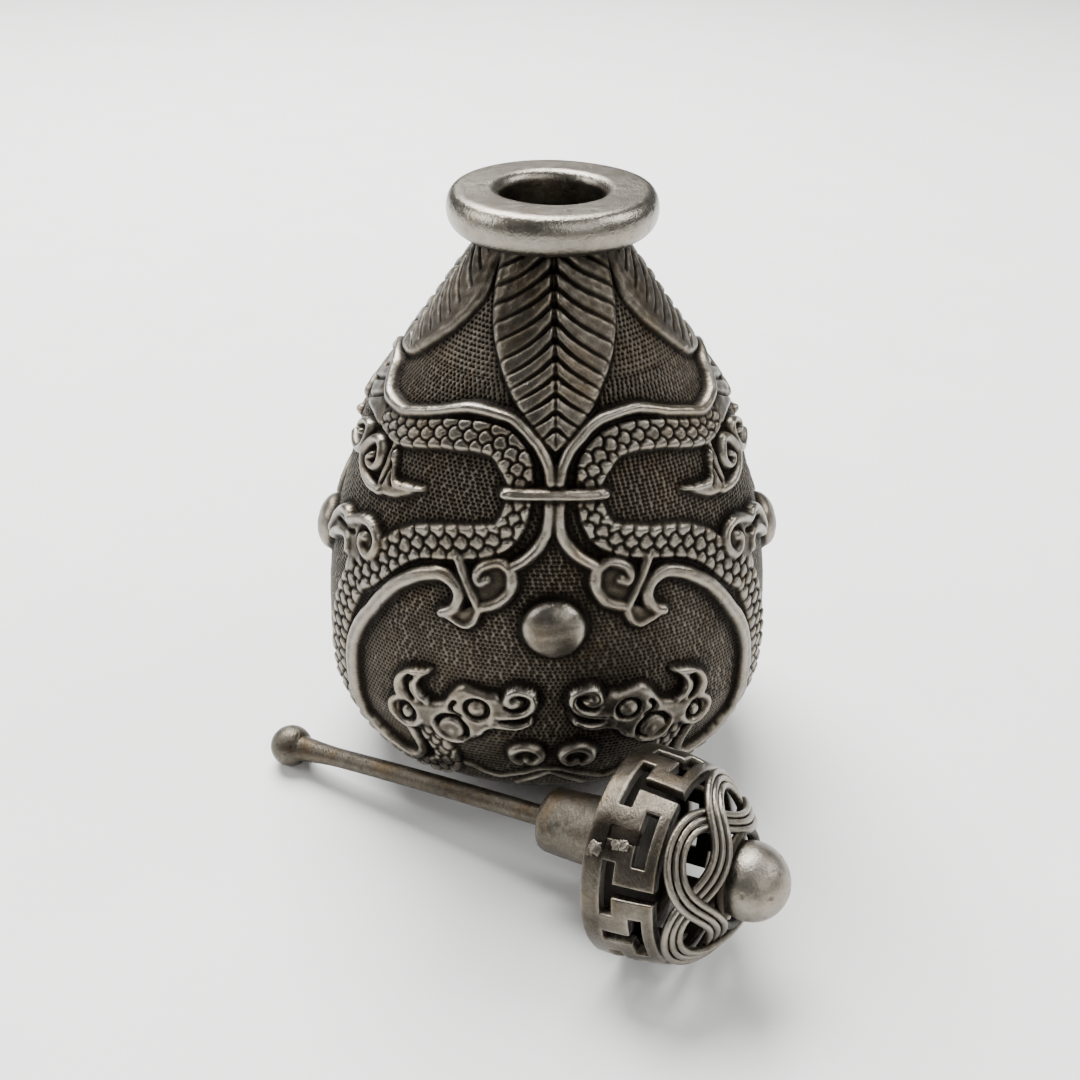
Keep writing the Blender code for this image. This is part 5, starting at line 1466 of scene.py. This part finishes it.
class Finial(bpy.types.Operator):
    """Turn the ball on top of the stopper"""

    bl_idname = "bottle.finial"
    bl_label = "Finial"

    def execute(self, context):
        stopper = Stopper()
        turn = np.linspace(-math.pi / 2.0, math.pi / 2.0, 66)
        ball = Stopper.FINIAL_RADIUS
        points, groups = turned(
            pairs(ball * np.cos(turn), Stopper.FINIAL_HEIGHT + ball * np.sin(turn)), 128)
        pits = pitted(points, 60, 0.00028, 0.00007, 11)
        centre = np.array([0.0, 0.0, Stopper.FINIAL_HEIGHT])
        away = points - centre
        length = np.linalg.norm(away, axis=1)
        moved = centre + away / length[:, None] * (length - pits)[:, None]
        # Darker on the half towards the knot: painted shade where the ball sits in the wires
        wear_and_painted_light = 0.80 - WORN_PIT_DIRT * pits - 0.3 * smooth((0.0 - away[:, 2]) / 0.0025)
        material = finish_metal("ball metal", lift=0.08, roughness=(0.36, 0.56), warmth=0.5,
                                scratch=0.3)
        new_piece("finial", stopper.place(moved, stopper.cap), groups, material,
                  "stopper_finial", np.clip(wear_and_painted_light, 0.05, 1.0))
        return {"FINISHED"}


class Plug(bpy.types.Operator):
    """Turn the plug under the cap"""

    bl_idname = "bottle.plug"
    bl_label = "Plug"

    END_ROUND = 0.0009

    def execute(self, context):
        stopper = Stopper()
        end = -Stopper.GAP - Stopper.PLUG_LENGTH
        small, large = Stopper.PLUG_END_RADIUS, Stopper.PLUG_RADIUS
        bend = np.linspace(0.0, math.pi / 2.0, 12)
        soft = self.END_ROUND
        body = np.linspace(0.0, 1.0, 34)[1:]
        profile = np.concatenate((
            [[0.0, end], [small * 0.4, end]],
            pairs(small - soft + soft * np.sin(bend), end + soft - soft * np.cos(bend)),
            pairs(small + (large - small) * body, end + soft + (-Stopper.GAP - end - soft) * body),
            pairs(np.linspace(large, 0.0, 8)[1:], -Stopper.GAP),
        ))
        points, groups = turned(profile, 96)
        angle = np.arctan2(points[:, 1], points[:, 0])
        radius = np.hypot(points[:, 0], points[:, 1])
        pits = pitted(points, 70, 0.0004, 0.00007, 5)
        dent = 0.00005 * np.sin(2 * angle + 1.0) + 0.00003 * np.sin(5 * angle + points[:, 2] * 900.0)
        scale = np.where(radius > 1e-6, (radius + dent - pits) / np.maximum(radius, 1e-6), 1.0)
        points[:, :2] *= scale[:, None]
        wear_and_painted_light = 0.55 + 0.05 * np.sin(angle * 3.0) - DULL_PIT_DIRT * pits
        # Darker over the last millimetre under the cap: painted shade
        wear_and_painted_light -= 0.25 * smooth((points[:, 2] + 0.0012) / 0.001)
        material = finish_metal("dull plug metal", lift=0.08, roughness=(0.36, 0.62), warmth=1.3,
                                grain=0.2)
        new_piece("plug", stopper.place(points, stopper.plug), groups, material, "stopper_plug",
                  np.clip(wear_and_painted_light, 0.05, 1.0))
        return {"FINISHED"}


class SpoonRod(bpy.types.Operator):
    """Draw the rod that widens into the ball at its tip"""

    bl_idname = "bottle.spoon_rod"
    bl_label = "Spoon rod"

    RADIUS = 0.0011
    TIP_RADIUS = 0.0015
    FLARE = 0.006

    def execute(self, context):
        stopper = Stopper()
        ball = Stopper.SPOON_RADIUS
        tip = Stopper.FINIAL_HEIGHT - Stopper.LENGTH
        start = -2.0 * Stopper.GAP - Stopper.PLUG_LENGTH
        neck = math.sqrt(ball ** 2 - self.TIP_RADIUS ** 2)
        turn = np.linspace(-math.pi / 2.0, math.acos(self.TIP_RADIUS / ball), 40)
        flare = np.linspace(0.0, 1.0, 26)[1:]
        run = np.linspace(0.0, 1.0, 60)[1:]
        high = tip + neck + self.FLARE
        profile = np.concatenate((
            pairs(ball * np.cos(turn), tip + ball * np.sin(turn)),
            pairs(self.RADIUS + (self.TIP_RADIUS - self.RADIUS) * (1.0 - flare) ** 1.6,
                  tip + neck + self.FLARE * flare),
            pairs(self.RADIUS, high + (start - high) * run),
            [[0.0, start]],
        ))
        profile[0, 0] = 0.0
        points, groups = turned(profile, 56)
        share = np.clip((points[:, 2] - tip) / (start - tip), 0.0, 1.0)
        pits = pitted(points, 60, 0.0003, 0.00005, 9)
        radius = np.maximum(np.hypot(points[:, 0], points[:, 1]), 1e-6)
        scale = 1.0 - pits / np.maximum(radius, self.RADIUS)
        points[:, :2] *= scale[:, None]
        points[:, 1] += 0.00025 * np.sin(math.pi * share)
        angle = np.arctan2(points[:, 1], points[:, 0])
        wear_and_painted_light = 0.50 + 0.06 * np.sin(angle * 2.0 + share * 9.0) - DULL_PIT_DIRT * pits
        wear_and_painted_light += 0.14 * smooth((0.06 - share) / 0.06)
        material = finish_metal("dull rod metal", lift=0.0, roughness=(0.34, 0.6), warmth=1.3,
                                grain=0.2, scratch=2.4)
        new_piece("rod_and_ball", stopper.place(points, stopper.plug), groups, material,
                  "spoon_rod", np.clip(wear_and_painted_light, 0.05, 1.0))
        return {"FINISHED"}


class Stage(bpy.types.Operator):
    """Lay the pale floor and set the soft light and the camera"""

    bl_idname = "bottle.stage"
    bl_label = "Floor, light and camera"

    CAMERA = (-0.00436, -0.11763, 0.1016)
    PITCH = 0.5733
    YAW = 0.0297
    ROLL = 0.0111

    def execute(self, context):
        look = context.scene.stage_look
        self.floor(look)
        self.lights(context, look)
        self.camera(context)
        return {"FINISHED"}

    @staticmethod
    def floor(look):
        """A wide pale sheet with faint blotches."""
        reach = 3.0
        mesh = bpy.data.meshes.new("floor")
        mesh.from_pydata([(-reach, -reach, 0.0), (reach, -reach, 0.0), (reach, reach, 0.0),
                          (-reach, reach, 0.0)], [], [(0, 1, 2, 3)])
        material, tree, shader = shader_tree("pale floor")
        place = tree.nodes.new("ShaderNodeTexCoord").outputs["Object"]
        noise = add_node(tree, "TexNoise", {"Vector": place, "Scale": 60.0, "Detail": 5.0})
        colour_of = colour_ramp(tree, noise.outputs["Fac"], (
            (0.3, [0.97 * part for part in look.floor]), (0.7, look.floor)))
        feed(tree, shader, {"Roughness": 0.62, "Specular IOR Level": 0.25,
                            "Base Color": colour_of})
        mesh.materials.append(material)
        floor = bpy.data.objects.new("floor", mesh)
        bpy.context.scene.collection.objects.link(floor)

    @staticmethod
    def lights(context, look):
        """A large soft light behind and above, a weak one in front, and a grey world."""
        lamps = (
            ("key light", (-0.12, 0.36, 0.66), 0.60, look.key),
            ("left light", (-0.55, 0.0, 0.35), 0.35, look.key * 0.09),
            ("right light", (0.50, 0.0, 0.45), 0.35, look.key * 0.11),
            ("fill light", (0.35, -0.60, 0.55), 0.60, look.key * 0.10),
        )
        target = np.array((0.0, 0.0, 0.02))
        for name, place, size, power in lamps:
            lamp = bpy.data.lights.new(name, "AREA")
            lamp.shape = "DISK"
            lamp.size = size
            lamp.energy = power
            item = bpy.data.objects.new(name, lamp)
            back = np.array(place) - target
            item.location = place
            item.rotation_euler = (math.atan2(math.hypot(back[0], back[1]), back[2]), 0.0,
                                   math.atan2(back[0], -back[1]))
            context.scene.collection.objects.link(item)
        world = bpy.data.worlds.new("soft grey")
        world.use_nodes = True
        background = world.node_tree.nodes["Background"]
        feed(world.node_tree, background, {"Color": (0.80, 0.81, 0.82, 1.0),
                                           "Strength": look.world})
        context.scene.world = world

    def camera(self, context):
        """The photograph's viewing place and direction, turned by pitch, yaw and roll."""
        lens = bpy.data.cameras.new("camera")
        lens.lens = 40.0
        lens.sensor_width = 36.0
        lens.clip_start = 0.005
        lens.clip_end = 20.0
        item = bpy.data.objects.new("camera", lens)
        c, s = math.cos(-self.YAW), math.sin(-self.YAW)
        turn = np.array([[c, -s, 0.0], [s, c, 0.0], [0.0, 0.0, 1.0]])
        right = turn @ np.array([1.0, 0.0, 0.0])
        up = turn @ np.array([0.0, math.sin(self.PITCH), math.cos(self.PITCH)])
        ahead = turn @ np.array([0.0, math.cos(self.PITCH), -math.sin(self.PITCH)])
        c, s = math.cos(self.ROLL), math.sin(self.ROLL)
        right, up = right * c + up * s, up * c - right * s
        item.matrix_world = Matrix([(right[i], up[i], -ahead[i], self.CAMERA[i])
                                    for i in range(3)] + [(0.0, 0.0, 0.0, 1.0)])
        context.scene.collection.objects.link(item)
        context.scene.camera = item


class BottlePanel(bpy.types.Panel):
    """The buttons that build each group of pieces, and their sizes and colours"""

    bl_idname = "VIEW3D_PT_snuff_bottle"
    bl_label = "Snuff bottle"
    bl_space_type = "VIEW_3D"
    bl_region_type = "UI"
    bl_category = "Snuff bottle"

    def draw(self, context):
        scene = context.scene
        for operator in OPERATORS:
            self.layout.operator(operator.bl_idname)
        for group in (scene.bottle_sizes, scene.stopper_sizes, scene.bottle_colours,
                      scene.stage_look):
            box = self.layout.box()
            for key in group.bl_rna.properties.keys():
                if key not in {"rna_type", "name"}:
                    box.prop(group, key)


GROUPS = {
    "bottle_sizes": BottleSizes,
    "stopper_sizes": StopperSizes,
    "bottle_colours": FinishColours,
    "stage_look": StageLook,
}
OPERATORS = (BottleBody, MouthRing, FretCap, Knotwork, Finial, Plug, SpoonRod, Stage)


def register():
    """Make the groups, operators and panel known, and hang the groups on the scene."""
    for kind in (*GROUPS.values(), *OPERATORS, BottlePanel):
        bpy.utils.register_class(kind)
    for name, kind in GROUPS.items():
        setattr(bpy.types.Scene, name, bpy.props.PointerProperty(type=kind))


def unregister():
    """Take them all away again."""
    for name in GROUPS:
        delattr(bpy.types.Scene, name)
    for kind in reversed((*GROUPS.values(), *OPERATORS, BottlePanel)):
        bpy.utils.unregister_class(kind)


def main():
    """Build every piece in order."""
    register()
    bpy.ops.bottle.body()
    bpy.ops.bottle.mouth_ring()
    bpy.ops.bottle.fret_cap()
    bpy.ops.bottle.knotwork()
    bpy.ops.bottle.finial()
    bpy.ops.bottle.plug()
    bpy.ops.bottle.spoon_rod()
    bpy.ops.bottle.stage()


if __name__ == "__main__":
    main()
